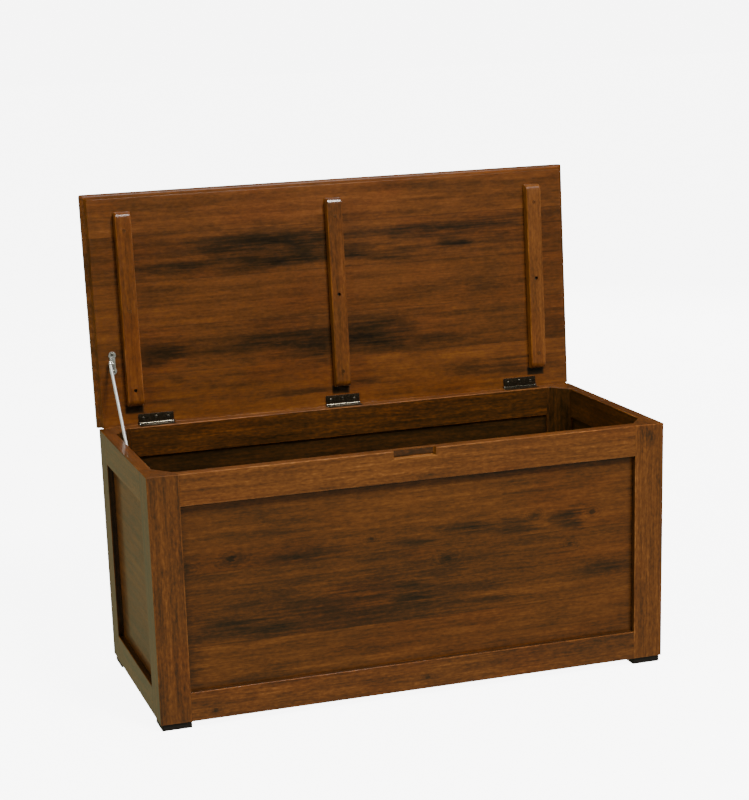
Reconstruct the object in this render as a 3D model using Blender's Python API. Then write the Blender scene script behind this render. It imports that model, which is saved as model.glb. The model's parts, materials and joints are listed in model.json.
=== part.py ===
"""A wooden storage chest with a hinged, battened lid and a sliding-rod lid stay.

The carcass is frame and panel: four corner posts, eight rails with stub tenons, four panels that float
in grooves, and a loose bottom board on cleats.  The lid is modelled open, resting on the stop of its stay.

Metres, +X right, +Y back, +Z up.  The origin is on the floor, at the centre of the footprint that the
chest takes with its lid open.
"""

import math

import bmesh
import bpy
from mathutils import Matrix, Vector

# Carcass
WIDTH = 1.000
DEPTH = 0.436
HEIGHT = 0.476
FRONT_Y = -0.250
FOOT_HEIGHT = 0.012
FRAME_THICKNESS = 0.023
POST_FRONT_WIDTH = 0.0585
POST_SIDE_WIDTH = 0.0625
POST_FLAT = 0.0055
TOP_RAIL_HEIGHT = 0.059
BOTTOM_RAIL_HEIGHT = 0.0555
ARRIS_RADIUS = 0.0012

# Joinery
GAP = 0.0003
PANEL_THICKNESS = 0.007
PANEL_RECESS = 0.0115
GROOVE_DEPTH = 0.012
TENON_LENGTH = 0.0115
PANEL_ENTRY = 0.011
TENON_MARGIN = 0.0005
MORTISE_STOP = 0.0095

# Finger notch in the front top rail
NOTCH_WIDTH = 0.082
NOTCH_HEIGHT = 0.0142
NOTCH_DEPTH = 0.012
NOTCH_RADIUS = 0.006

# Bottom
CLEAT = 0.018
CLEAT_UNDERSIDE = 0.014
BOTTOM_THICKNESS = 0.009
BOTTOM_CLEARANCE = 0.001

# Feet
FOOT_SIZE = 0.056
FOOT_INSET = 0.003
FOOT_RADIUS = 0.002

# Lid: it stands a little to the right of the carcass's centre, with its battens and hinges
OPEN_ANGLE = math.radians(94.0)
LID_SHIFT = 0.0036
LID_WIDTH = 1.006
LID_DEPTH = 0.4533
LID_REAR = 0.0028
LID_THICKNESS = 0.031
LID_EDGE_HEIGHT = 0.016
LID_OVERHANG = 0.0095
LID_CORNER_RADIUS = 0.002
LID_TOP_RADIUS = 0.003
LID_ARRIS = 0.0014
COVE_STEPS = 6
COVE_DEPTH = 0.009
SCOOP_RADIUS = 0.0035
SCOOP_MARGIN = 0.0064

# Battens
BATTEN_WIDTH = 0.032
BATTEN_THICKNESS = 0.016
BATTEN_REAR = 0.0388
BATTEN_LENGTH = 0.3785
BATTEN_SPACING = 0.427
BATTEN_END_RADIUS = 0.012
BATTEN_EDGE_RADIUS = 0.0025
BATTEN_SCREW_SPACING = 0.155
BATTEN_SCREW_CENTRE = 0.2258
BATTEN_SCREW_SINK = 0.004

# Hinges
HINGE_SPACING = 0.3875
HINGE_WIDTH = 0.0715
BARREL_LENGTH = 0.0622
HINGE_SETBACK = 0.003
HINGE_HALF_GAP = 0.0016
LEAF_LENGTH = 0.0188
LEAF_FACE = 0.0003
LEAF_BACK = 0.0013
KNUCKLE_RADIUS = 0.003
KNUCKLE_BORE = 0.00185
KNUCKLE_COUNT = 5
KNUCKLE_GAP = 0.0004
PIN_RADIUS = 0.0016
PIN_BALL_RADIUS = 0.0028
LEAF_SCREW_X = 0.025
LEAF_SCREW_NEAR = 0.0097
LEAF_SCREW_FAR = 0.0112

# Lid stay
STAY_X = -0.4685
STAY_PIVOT_REACH = 0.1268
STAY_PIVOT_DROP = 0.008
STAY_GUIDE_DROP = math.radians(11.4)
ROD_RADIUS = 0.003
ROD_EYE_RADIUS = 0.0046
ROD_EYE_THICKNESS = 0.003
RIVET_RADIUS = 0.0015
RIVET_CLEARANCE = 0.00025
RIVET_HEAD = 0.003
GUIDE_RADIUS = 0.0055
GUIDE_LENGTH = 0.011
GUIDE_BORE = 0.0034
STUD_RADIUS = 0.0024
STOP_RADIUS = 0.0053
STOP_LENGTH = 0.007
ROD_TAIL = 0.002
STAY_PLATE_WIDTH = 0.015
STAY_PLATE_LENGTH = 0.046
STAY_PLATE_THICKNESS = 0.0015
STAY_PLATE_OFFSET = 0.0062
STAY_PLATE_WAIST = math.radians(42.0)
STAY_SCREW_SPACING = 0.0165
BASE_LENGTH = 0.036
BASE_WIDTH = 0.014
BASE_SCREW_SPACING = 0.012
BOSS_RADIUS = 0.005
BOSS_HEIGHT = 0.0007

# Screws: head radius, shank radius, length
LEAF_SCREW = (0.0030, 0.0014, 0.012)
BATTEN_SCREW = (0.0034, 0.0018, 0.024)
STAY_SCREW = (0.0024, 0.0012, 0.010)
SCREW_CLEARANCE = 0.0003
SCREW_SIDES = 10
ROUND_SIDES = 24

# Derived places
BACK_Y = FRONT_Y + DEPTH
INNER_X = WIDTH / 2 - FRAME_THICKNESS
TOP_RAIL_Z = HEIGHT - TOP_RAIL_HEIGHT
BOTTOM_RAIL_Z = FOOT_HEIGHT + BOTTOM_RAIL_HEIGHT
TONGUE_FACE = PANEL_RECESS
TONGUE_BACK = PANEL_RECESS + PANEL_THICKNESS
HINGE_AXIS = Vector((0.0, BACK_Y + HINGE_SETBACK, HEIGHT + HINGE_HALF_GAP))
HINGE_CENTRES = [LID_SHIFT + HINGE_SPACING * i for i in (-1, 0, 1)]
BATTEN_CENTRES = [LID_SHIFT + BATTEN_SPACING * i for i in (-1, 0, 1)]
LID_UNDERSIDE = HINGE_HALF_GAP
STAY_PIVOT = Vector((STAY_X, LID_REAR - STAY_PIVOT_REACH, LID_UNDERSIDE - STAY_PIVOT_DROP))
STAY_RADIUS = math.hypot(STAY_PIVOT.y, STAY_PIVOT.z)

# Colours: linear red, green, blue
STAIN = (0.130, 0.040, 0.010)
STAIN_DARK = (0.070, 0.022, 0.007)
STAIN_INSIDE = (0.060, 0.020, 0.007)
FOOT_BLACK = (0.012, 0.009, 0.007)
BRONZE = (0.030, 0.022, 0.015)
NICKEL = (0.720, 0.700, 0.660)


# ---- helpers ----------------------------------------------------------------------------------------------


def clear_scene():
    for item in list(bpy.data.objects):
        bpy.data.objects.remove(item)


def paint(name, colour, roughness, metallic):
    material = bpy.data.materials.new(name)
    material.use_nodes = True
    surface = material.node_tree.nodes["Principled BSDF"]
    surface.inputs["Base Color"].default_value = (*colour, 1.0)
    surface.inputs["Roughness"].default_value = roughness
    surface.inputs["Metallic"].default_value = metallic
    return material


def add_object(name, mesh_data, look, parent=None):
    """Closes a bmesh into a named object.  look is (colour, roughness, metallic)."""
    bmesh.ops.recalc_face_normals(mesh_data, faces=mesh_data.faces)
    mesh = bpy.data.meshes.new(name)
    mesh_data.to_mesh(mesh)
    mesh_data.free()
    item = bpy.data.objects.new(name, mesh)
    bpy.context.scene.collection.objects.link(item)
    if look:
        mesh.materials.append(paint(name, *look))
    if parent:
        item.parent = parent
    return item


def add_axis(name, place, turn, parent=None):
    """An empty on a joint's axis, turned about X."""
    axis = bpy.data.objects.new(name, None)
    bpy.context.scene.collection.objects.link(axis)
    axis.location = place
    axis.rotation_euler = (turn, 0.0, 0.0)
    axis.parent = parent
    return axis


def combine(target, tool, operation):
    """Applies one exact Boolean of tool on target and deletes the tool."""
    modifier = target.modifiers.new(operation.lower(), "BOOLEAN")
    modifier.operation = operation
    modifier.object = tool
    tool.parent = target.parent
    bpy.context.view_layer.update()
    evaluated = target.evaluated_get(bpy.context.evaluated_depsgraph_get())
    result = bpy.data.meshes.new_from_object(evaluated)
    target.modifiers.clear()
    target.data = result
    bpy.data.objects.remove(tool)


def cut(target, mesh_data):
    combine(target, add_object("cutter", mesh_data, None), "DIFFERENCE")


def join(target, mesh_data):
    combine(target, add_object("joiner", mesh_data, None), "UNION")


def merged(parts):
    """One bmesh that holds several separate ones."""
    whole = bmesh.new()
    for part in parts:
        mesh = bpy.data.meshes.new("part")
        part.to_mesh(mesh)
        part.free()
        whole.from_mesh(mesh)
        bpy.data.meshes.remove(mesh)
    return whole


def box(low, high):
    data = bmesh.new()
    bmesh.ops.create_cube(data, size=1.0)
    for vertex in data.verts:
        vertex.co = Vector(low[i] + (vertex.co[i] + 0.5) * (high[i] - low[i]) for i in range(3))
    bmesh.ops.recalc_face_normals(data, faces=data.faces)
    return data


def prism(outline, low, high, axis):
    """An outline in the plane across axis, carried from low to high along it."""
    data = bmesh.new()
    rings = []
    for level in (low, high):
        ring = []
        for a, b in outline:
            place = {"X": (level, a, b), "Y": (a, level, b), "Z": (a, b, level)}[axis]
            ring.append(data.verts.new(place))
        rings.append(ring)
    return closed_loft(data, rings)


def closed_loft(data, rings):
    """Skins rings of equal length and closes both ends."""
    count = len(rings[0])
    for lower, upper in zip(rings, rings[1:]):
        for i in range(count):
            j = (i + 1) % count
            data.faces.new((lower[i], lower[j], upper[j], upper[i]))
    data.faces.new(rings[0])
    data.faces.new(rings[-1])
    bmesh.ops.recalc_face_normals(data, faces=data.faces)
    return data


def turned(profile, sides, matrix=Matrix.Identity(4), hollow=False):
    """A profile of (radius, height) points turned about Z.  A hollow profile closes on itself."""
    data = bmesh.new()
    rings = []
    for radius, height in profile:
        if radius == 0.0:
            rings.append([data.verts.new((0.0, 0.0, height))])
            continue
        angles = [2 * math.pi * i / sides for i in range(sides)]
        rings.append([data.verts.new((radius * math.cos(a), radius * math.sin(a), height)) for a in angles])
    pairs = list(zip(rings, rings[1:]))
    if hollow:
        pairs.append((rings[-1], rings[0]))
    for lower, upper in pairs:
        for i in range(sides):
            j = (i + 1) % sides
            if len(lower) == 1:
                data.faces.new((lower[0], upper[j], upper[i]))
            elif len(upper) == 1:
                data.faces.new((lower[i], lower[j], upper[0]))
            else:
                data.faces.new((lower[i], lower[j], upper[j], upper[i]))
    if not hollow:
        for ring in (rings[0], rings[-1]):
            if len(ring) > 1:
                data.faces.new(ring)
    bmesh.ops.transform(data, matrix=matrix, verts=data.verts)
    bmesh.ops.recalc_face_normals(data, faces=data.faces)
    return data


def pointing(place, direction):
    """A matrix that puts Z along direction at place."""
    turn = Vector(direction).to_track_quat("Z", "Y").to_matrix().to_4x4()
    return Matrix.Translation(place) @ turn


def round_edges(data, wanted, radius, segments=2):
    """Rounds the edges whose middle and direction satisfy wanted."""
    chosen = []
    for edge in data.edges:
        first, second = (vertex.co for vertex in edge.verts)
        if wanted((first + second) / 2, (second - first).normalized()):
            chosen.append(edge)
    bmesh.ops.bevel(
        data, geom=chosen, offset=radius, segments=segments, profile=0.5, affect="EDGES", clamp_overlap=True
    )
    return data


def screw_profile(kind, clearance=0.0, reach=0.0):
    """A countersunk screw from its head's face at 0 to its tip.  reach opens a hole outwards."""
    head, shank, length = kind
    cone_end = (head - shank) * 1.1
    profile = [(head + clearance, -reach), (head + clearance, 0.0004), (shank + clearance, cone_end)]
    profile += [(shank + clearance, length - 2 * shank), (0.0, length + clearance)]
    return profile


def screw(kind, place, direction):
    return turned(screw_profile(kind), SCREW_SIDES, pointing(place, direction))


def screw_hole(kind, place, direction, reach=0.004):
    profile = screw_profile(kind, SCREW_CLEARANCE, reach)
    return turned(profile, SCREW_SIDES, pointing(place, direction))


def near(value, target):
    return abs(value - target) < 1e-5


WOOD = (STAIN, 0.28, 0.0)
WOOD_DARK = (STAIN_DARK, 0.30, 0.0)
WOOD_INSIDE = (STAIN_INSIDE, 0.45, 0.0)
BLACK_PAD = (FOOT_BLACK, 0.60, 0.0)
HINGE_METAL = (BRONZE, 0.35, 1.0)
BRIGHT_METAL = (NICKEL, 0.15, 1.0)


# ---- carcass ----------------------------------------------------------------------------------------------

CORNERS = [("front_left", -1, 1), ("front_right", 1, 1), ("rear_left", -1, -1), ("rear_right", 1, -1)]


def corner_xy(side, facing, p, q):
    """A place measured inwards from an outer corner: p along X, q along Y."""
    x = side * (WIDTH / 2 - p)
    y = FRONT_Y + q if facing > 0 else BACK_Y - q
    return x, y


def corner_box(side, facing, p_range, q_range, z_range):
    ax, ay = corner_xy(side, facing, p_range[0], q_range[0])
    bx, by = corner_xy(side, facing, p_range[1], q_range[1])
    return box((min(ax, bx), min(ay, by), z_range[0]), (max(ax, bx), max(ay, by), z_range[1]))


def build_post(name, side, facing):
    """A post whose inner corner is cut away on the slant, grooved for two panels and their rails."""
    corner_points = [
        (0.0, 0.0),
        (POST_FRONT_WIDTH, 0.0),
        (POST_FRONT_WIDTH, FRAME_THICKNESS),
        (POST_FRONT_WIDTH - POST_FLAT, FRAME_THICKNESS),
        (FRAME_THICKNESS, POST_SIDE_WIDTH),
        (0.0, POST_SIDE_WIDTH),
    ]
    outline = [corner_xy(side, facing, p, q) for p, q in corner_points]
    data = prism(outline, FOOT_HEIGHT, HEIGHT, "Z")
    outer_x, outer_y = corner_xy(side, facing, 0.0, 0.0)
    slant_x = corner_xy(side, facing, (FRAME_THICKNESS + POST_FRONT_WIDTH - POST_FLAT) / 2, 0.0)[0]
    flat_x = corner_xy(side, facing, POST_FRONT_WIDTH - POST_FLAT / 2, 0.0)[0]

    def wanted(middle, direction):
        if abs(direction.z) > 0.9:
            return near(middle.x, outer_x) and near(middle.y, outer_y)
        outer = near(middle.x, outer_x) or near(middle.y, outer_y)
        return outer or near(middle.x, slant_x) or near(middle.x, flat_x)

    round_edges(data, wanted, ARRIS_RADIUS)
    post = add_object(name, data, WOOD)
    thickness = (TONGUE_FACE - GAP, TONGUE_BACK + GAP)
    rise = (FOOT_HEIGHT + MORTISE_STOP, HEIGHT - MORTISE_STOP)
    front = (POST_FRONT_WIDTH - GROOVE_DEPTH, POST_FRONT_WIDTH + 0.005)
    flank = (POST_SIDE_WIDTH - GROOVE_DEPTH, POST_SIDE_WIDTH + 0.005)
    cut(post, corner_box(side, facing, front, thickness, rise))
    cut(post, corner_box(side, facing, thickness, flank, rise))
    return post


def build_rail(name, along_x, at_low_side, top):
    """A rail between two posts: outer face flush, stub tenons on its ends, a groove for the panel."""
    height = (TOP_RAIL_Z, HEIGHT) if top else (FOOT_HEIGHT, BOTTOM_RAIL_Z)
    groove = (TOP_RAIL_Z - 0.005, TOP_RAIL_Z + GROOVE_DEPTH)
    tenon = (TOP_RAIL_Z + GROOVE_DEPTH + TENON_MARGIN, HEIGHT - MORTISE_STOP - TENON_MARGIN)
    if not top:
        groove = (BOTTOM_RAIL_Z - GROOVE_DEPTH, BOTTOM_RAIL_Z + 0.005)
        tenon = (FOOT_HEIGHT + MORTISE_STOP + TENON_MARGIN, BOTTOM_RAIL_Z - GROOVE_DEPTH - TENON_MARGIN)
    if along_x:
        reach = WIDTH / 2 - POST_FRONT_WIDTH
        run = (-reach + GAP, reach - GAP)
    else:
        run = (FRONT_Y + POST_SIDE_WIDTH + GAP, BACK_Y - POST_SIDE_WIDTH - GAP)

    def bar(run_range, depth_range, z_range):
        """A box given by its run, its depth from the outer face and its height."""
        if along_x:
            face, inwards = (FRONT_Y, 1) if at_low_side else (BACK_Y, -1)
        else:
            face, inwards = (-WIDTH / 2, 1) if at_low_side else (WIDTH / 2, -1)
        across = sorted(face + inwards * depth for depth in depth_range)
        x_range, y_range = (run_range, across) if along_x else (across, run_range)
        low, high = zip(x_range, y_range, z_range)
        return box(low, high)

    data = bar(run, (0.0, FRAME_THICKNESS), height)
    lengthwise = 0 if along_x else 1
    round_edges(data, lambda middle, direction: abs(direction[lengthwise]) > 0.9, ARRIS_RADIUS)
    rail = add_object(name, data, WOOD)
    tongue_run = (run[0] + GAP - TENON_LENGTH, run[1] - GAP + TENON_LENGTH)
    join(rail, bar(tongue_run, (TONGUE_FACE, TONGUE_BACK), tenon))
    groove_run = (run[0] - 0.05, run[1] + 0.05)
    cut(rail, bar(groove_run, (TONGUE_FACE - GAP, TONGUE_BACK + GAP), groove))
    return rail


def build_panel(name, along_x, at_low_side):
    """A flat panel that floats in the grooves around it."""
    z_range = (BOTTOM_RAIL_Z - PANEL_ENTRY, TOP_RAIL_Z + PANEL_ENTRY)
    if along_x:
        reach = WIDTH / 2 - POST_FRONT_WIDTH + PANEL_ENTRY
        x_range = (-reach, reach)
        face, inwards = (FRONT_Y, 1) if at_low_side else (BACK_Y, -1)
        y_range = sorted(face + inwards * depth for depth in (TONGUE_FACE, TONGUE_BACK))
    else:
        y_range = (FRONT_Y + POST_SIDE_WIDTH - PANEL_ENTRY, BACK_Y - POST_SIDE_WIDTH + PANEL_ENTRY)
        face, inwards = (-WIDTH / 2, 1) if at_low_side else (WIDTH / 2, -1)
        x_range = sorted(face + inwards * depth for depth in (TONGUE_FACE, TONGUE_BACK))
    low, high = zip(x_range, y_range, z_range)
    return add_object(name, box(low, high), WOOD_DARK)


def cut_finger_notch(rail):
    """A routed pocket, open at the front and the top, with rounded inner corners."""
    half = NOTCH_WIDTH / 2
    back = FRONT_Y + NOTCH_DEPTH
    outline = [(-half, FRONT_Y - 0.005), (half, FRONT_Y - 0.005)]
    for side, start in ((1, 0.0), (-1, math.pi / 2)):
        centre = (side * (half - NOTCH_RADIUS), back - NOTCH_RADIUS)
        for step in range(5):
            angle = start + math.pi / 2 * step / 4
            outline.append((centre[0] + NOTCH_RADIUS * math.cos(angle), centre[1] + NOTCH_RADIUS * math.sin(angle)))
    cut(rail, prism(outline, HEIGHT - NOTCH_HEIGHT, HEIGHT + 0.005, "Z"))


def build_bottom():
    """The bottom board, its corners cut to pass the posts, and the cleats that it lies on."""
    edge = FRAME_THICKNESS + BOTTOM_CLEARANCE
    outline = []
    for _, side, facing in (CORNERS[0], CORNERS[1], CORNERS[3], CORNERS[2]):
        along_side = corner_xy(side, facing, edge, POST_SIDE_WIDTH + 2 * BOTTOM_CLEARANCE)
        along_front = corner_xy(side, facing, POST_FRONT_WIDTH + 2 * BOTTOM_CLEARANCE, edge)
        outline += [along_side, along_front] if side * facing < 0 else [along_front, along_side]
    underside = CLEAT_UNDERSIDE + CLEAT + GAP
    add_object("bottom_board", prism(outline, underside, underside + BOTTOM_THICKNESS, "Z"), WOOD_INSIDE)

    z_range = (CLEAT_UNDERSIDE, CLEAT_UNDERSIDE + CLEAT)
    inner = FRAME_THICKNESS + GAP
    reach = WIDTH / 2 - POST_FRONT_WIDTH - 0.006
    y_range = (FRONT_Y + POST_SIDE_WIDTH + 0.004, BACK_Y - POST_SIDE_WIDTH - 0.004)
    front = (FRONT_Y + inner, FRONT_Y + inner + CLEAT)
    rear = (BACK_Y - inner - CLEAT, BACK_Y - inner)
    for name, across in (("front", front), ("rear", rear)):
        low, high = zip((-reach, reach), across, z_range)
        add_object(f"bottom_cleat_{name}", box(low, high), WOOD_INSIDE)
    for name, side in (("left", -1), ("right", 1)):
        x_range = sorted(side * (WIDTH / 2 - depth) for depth in (inner, inner + CLEAT))
        low, high = zip(x_range, y_range, z_range)
        add_object(f"bottom_cleat_{name}", box(low, high), WOOD_INSIDE)


def build_feet():
    span = (FOOT_INSET, FOOT_INSET + FOOT_SIZE)
    for name, side, facing in CORNERS:
        data = corner_box(side, facing, span, span, (0.0, FOOT_HEIGHT - GAP))
        round_edges(data, lambda middle, direction: abs(direction.z) > 0.9, FOOT_RADIUS)
        add_object(f"foot_{name}", data, BLACK_PAD)


# ---- hinges -----------------------------------------------------------------------------------------------


def leaf_screw_places(centre, up):
    """Where a leaf's screws enter, from the hinge axis.  up is 1 for the lid's leaf, -1 for the body's."""
    places = []
    for offset, back in ((-LEAF_SCREW_X, LEAF_SCREW_NEAR), (0, LEAF_SCREW_FAR), (LEAF_SCREW_X, LEAF_SCREW_NEAR)):
        places.append(Vector((centre + offset, -back, up * (LEAF_FACE + 0.0001))))
    return places


def build_leaf(name, centre, up, parent):
    """One hinge leaf, closed over its knuckles.  The body's leaf has the odd knuckles, the lid's the even."""
    pitch = BARREL_LENGTH / KNUCKLE_COUNT
    first = 0 if up < 0 else 1
    side = HINGE_WIDTH / 2
    left = centre - BARREL_LENGTH / 2
    own = range(first, KNUCKLE_COUNT, 2)
    clear = KNUCKLE_RADIUS + KNUCKLE_GAP
    inset = KNUCKLE_GAP / 2
    outline = [(centre - side, -LEAF_LENGTH), (centre + side, -LEAF_LENGTH), (centre + side, -clear)]
    outline.append((left + BARREL_LENGTH + inset, -clear))
    for k in reversed(range(KNUCKLE_COUNT)):
        depth = -0.0021 if k in own else -clear
        outline.append((left + (k + 1) * pitch - inset, depth))
        outline.append((left + k * pitch + inset, depth))
    outline += [(left - inset, -clear), (centre - side, -clear)]
    z_range = sorted((up * LEAF_FACE, up * LEAF_BACK))
    leaf = add_object(name, prism(outline, *z_range, "Z"), HINGE_METAL, parent)

    tubes = []
    for k in own:
        start = left + k * pitch + KNUCKLE_GAP / 2
        length = pitch - KNUCKLE_GAP
        wall = [(KNUCKLE_BORE, 0.0), (KNUCKLE_RADIUS, 0.0), (KNUCKLE_RADIUS, length), (KNUCKLE_BORE, length)]
        tubes.append(turned(wall, 16, pointing((start, 0, 0), (1, 0, 0)), hollow=True))
    join(leaf, merged(tubes))
    for place in leaf_screw_places(centre, up):
        cut(leaf, screw_hole(LEAF_SCREW, place, (0, 0, up)))
    return leaf


def build_hinge_pin(name, centre, parent):
    """A pin with a ball on each end, which keeps it in the knuckles."""
    half = BARREL_LENGTH / 2
    ball_centre = half + KNUCKLE_GAP + 0.0020
    ball = []
    for step in range(6):
        angle = math.radians(18.0 + 144.0 * step / 5)
        ball.append((PIN_BALL_RADIUS * math.sin(angle), ball_centre + PIN_BALL_RADIUS * math.cos(angle)))
    ball[-1] = (PIN_RADIUS, half + KNUCKLE_GAP)
    right = [(0.0, ball_centre + PIN_BALL_RADIUS)] + ball
    left = [(radius, -height) for radius, height in reversed(right)]
    data = turned(right + left, 16, pointing((centre, 0, 0), (1, 0, 0)))
    return add_object(name, data, BRIGHT_METAL, parent)


# ---- lid --------------------------------------------------------------------------------------------------


def lid_level(data, spread, height):
    """One rectangle of the lid with rounded front corners, spread beyond the underside's outline."""
    half = LID_WIDTH / 2 - LID_OVERHANG + spread
    left, right = LID_SHIFT - half, LID_SHIFT + half
    front = LID_REAR - LID_DEPTH + LID_OVERHANG - spread
    radius = LID_CORNER_RADIUS + max(spread, 0.0) * 0.2
    ring = [data.verts.new((right, LID_REAR, height)), data.verts.new((left, LID_REAR, height))]
    for centre, start in ((left + radius, math.pi), (right - radius, 1.5 * math.pi)):
        for step in range(4):
            angle = start + math.pi / 2 * step / 3
            x = centre + radius * math.cos(angle)
            y = front + radius + radius * math.sin(angle)
            ring.append(data.verts.new((x, y, height)))
    return ring


def build_lid(parent):
    """A thick board.  Below its square edge a cove runs in to the underside at the front and the sides.

    Its rear edge lies over the hinge line, so it is scooped out around the knuckles and the pins' ends.
    """
    data = bmesh.new()
    cove_height = LID_THICKNESS - LID_EDGE_HEIGHT
    levels = []
    for step in range(4):
        angle = math.pi / 2 * step / 3
        levels.append((-LID_ARRIS * (1 - math.sin(angle)), LID_ARRIS * (1 - math.cos(angle))))
    for step in range(1, COVE_STEPS + 1):
        angle = math.pi / 2 * step / COVE_STEPS
        rise = (cove_height - LID_ARRIS) * math.sin(angle)
        levels.append((COVE_DEPTH * (1 - math.cos(angle)), LID_ARRIS + rise))
    levels.append((LID_OVERHANG, cove_height + 0.0005))
    for step in range(4):
        angle = math.pi / 2 * step / 3
        spread = LID_OVERHANG - LID_TOP_RADIUS * (1 - math.cos(angle))
        levels.append((spread, LID_THICKNESS - LID_TOP_RADIUS * (1 - math.sin(angle))))
    rings = [lid_level(data, spread, LID_UNDERSIDE + height) for spread, height in levels]
    lid = add_object("lid_board", closed_loft(data, rings), WOOD, parent)

    holes = []
    for centre in HINGE_CENTRES:
        holes += [screw_hole(LEAF_SCREW, place, (0, 0, 1)) for place in leaf_screw_places(centre, 1)]
    for centre in BATTEN_CENTRES:
        holes += [screw_hole(BATTEN_SCREW, place, (0, 0, 1)) for place in batten_screw_places(centre)]
    for place in stay_screw_places():
        holes.append(screw_hole(STAY_SCREW, place, (0, 0, 1)))
    reach = BARREL_LENGTH / 2 + SCOOP_MARGIN
    scoop = [(SCOOP_RADIUS, -reach), (SCOOP_RADIUS, reach)]
    for centre in HINGE_CENTRES:
        holes.append(turned(scoop, ROUND_SIDES, pointing((centre, 0, 0), (1, 0, 0))))
    cut(lid, merged(holes))
    return lid


def batten_screw_places(centre):
    """Where one batten's screws sit, from rear to front."""
    middle = LID_REAR - BATTEN_SCREW_CENTRE
    height = LID_UNDERSIDE - GAP - BATTEN_THICKNESS + BATTEN_SCREW_SINK
    return [Vector((centre, middle - step * BATTEN_SCREW_SPACING, height)) for step in (-1, 0, 1)]


def build_batten(name, centre, parent):
    """A stiffening batten across the underside, with rounded ends and three sunk screws."""
    rear = LID_REAR - BATTEN_REAR
    front = rear - BATTEN_LENGTH
    top = LID_UNDERSIDE - GAP
    face = top - BATTEN_THICKNESS
    outline = [(rear, top), (front, top)]
    for end, start in ((front + BATTEN_END_RADIUS, math.pi), (rear - BATTEN_END_RADIUS, 1.5 * math.pi)):
        for step in range(6):
            angle = start + math.pi / 2 * step / 5
            y = end + BATTEN_END_RADIUS * math.cos(angle)
            outline.append((y, face + BATTEN_END_RADIUS + BATTEN_END_RADIUS * math.sin(angle)))
    data = prism(outline, centre - BATTEN_WIDTH / 2, centre + BATTEN_WIDTH / 2, "X")

    def wanted(middle, direction):
        on_face = middle.z < top - 0.002
        on_side = near(abs(middle.x - centre), BATTEN_WIDTH / 2)
        return on_face and on_side and abs(direction.x) < 0.1

    round_edges(data, wanted, BATTEN_EDGE_RADIUS)
    batten = add_object(name, data, WOOD, parent)
    holes = [screw_hole(BATTEN_SCREW, place, (0, 0, 1), reach=0.01) for place in batten_screw_places(centre)]
    cut(batten, merged(holes))
    return batten


# ---- lid stay ---------------------------------------------------------------------------------------------


def stay_screw_places():
    """Where the screws of the stay's plate enter the lid."""
    face = LID_UNDERSIDE - GAP - STAY_PLATE_THICKNESS
    x = STAY_X + STAY_PLATE_OFFSET
    return [Vector((x, STAY_PIVOT.y + step * STAY_SCREW_SPACING, face + 0.0001)) for step in (-1, 1)]


def stadium(centre, half_length, radius, steps=6, waist=0.0):
    """A slot outline, long in its second coordinate.  Its ends run on by the angle waist and narrow its middle."""
    outline = []
    for end, start in ((half_length - radius, -waist), (radius - half_length, math.pi - waist)):
        for step in range(steps + 1):
            angle = start + (math.pi + 2 * waist) * step / steps
            outline.append((centre[0] + radius * math.cos(angle), centre[1] + end + radius * math.sin(angle)))
    return outline


def build_stay_bracket(parent):
    """A plate on the lid with an upright ear, and the rivet that the rod swings on."""
    top = LID_UNDERSIDE - GAP
    lower = top - STAY_PLATE_THICKNESS
    ear_x = STAY_X + ROD_RADIUS + 0.0004
    centre = (STAY_X + STAY_PLATE_OFFSET, STAY_PIVOT.y)
    outline = stadium(centre, STAY_PLATE_LENGTH / 2, STAY_PLATE_WIDTH / 2, 12, STAY_PLATE_WAIST)
    bracket = add_object("stay_lid_bracket", prism(outline, lower, top, "Z"), BRIGHT_METAL, parent)
    radius = 0.005
    ear = [(STAY_PIVOT.y + radius, top - 0.0004), (STAY_PIVOT.y - radius, top - 0.0004)]
    for step in range(9):
        angle = math.pi + math.pi * step / 8
        ear.append((STAY_PIVOT.y + radius * math.cos(angle), STAY_PIVOT.z + radius * math.sin(angle)))
    join(bracket, prism(ear, ear_x, ear_x + STAY_PLATE_THICKNESS, "X"))
    hole = RIVET_RADIUS + RIVET_CLEARANCE
    rod = [(hole, -0.01), (hole, 0.01)]
    cut(bracket, turned(rod, 12, pointing((ear_x, STAY_PIVOT.y, STAY_PIVOT.z), (1, 0, 0))))
    for place in stay_screw_places():
        cut(bracket, screw_hole(STAY_SCREW, place, (0, 0, 1)))

    ear_back = ear_x + STAY_PLATE_THICKNESS - STAY_X + GAP
    eye_face = -ROD_EYE_THICKNESS / 2 - GAP
    profile = [(0.0, eye_face - 0.0016), (RIVET_HEAD * 0.7, eye_face - 0.0014), (RIVET_HEAD, eye_face - 0.0006)]
    profile += [(RIVET_HEAD, eye_face), (RIVET_RADIUS, eye_face), (RIVET_RADIUS, ear_back)]
    profile += [(RIVET_HEAD * 0.8, ear_back), (RIVET_HEAD * 0.8, ear_back + 0.0008), (0.0, ear_back + 0.0012)]
    add_object("stay_rivet", turned(profile, 12, pointing(STAY_PIVOT, (1, 0, 0))), BRIGHT_METAL, parent)
    for name, place in zip(("front", "rear"), stay_screw_places()):
        add_object(f"stay_lid_screw_{name}", screw(STAY_SCREW, place, (0, 0, 1)), BRIGHT_METAL, parent)


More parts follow.
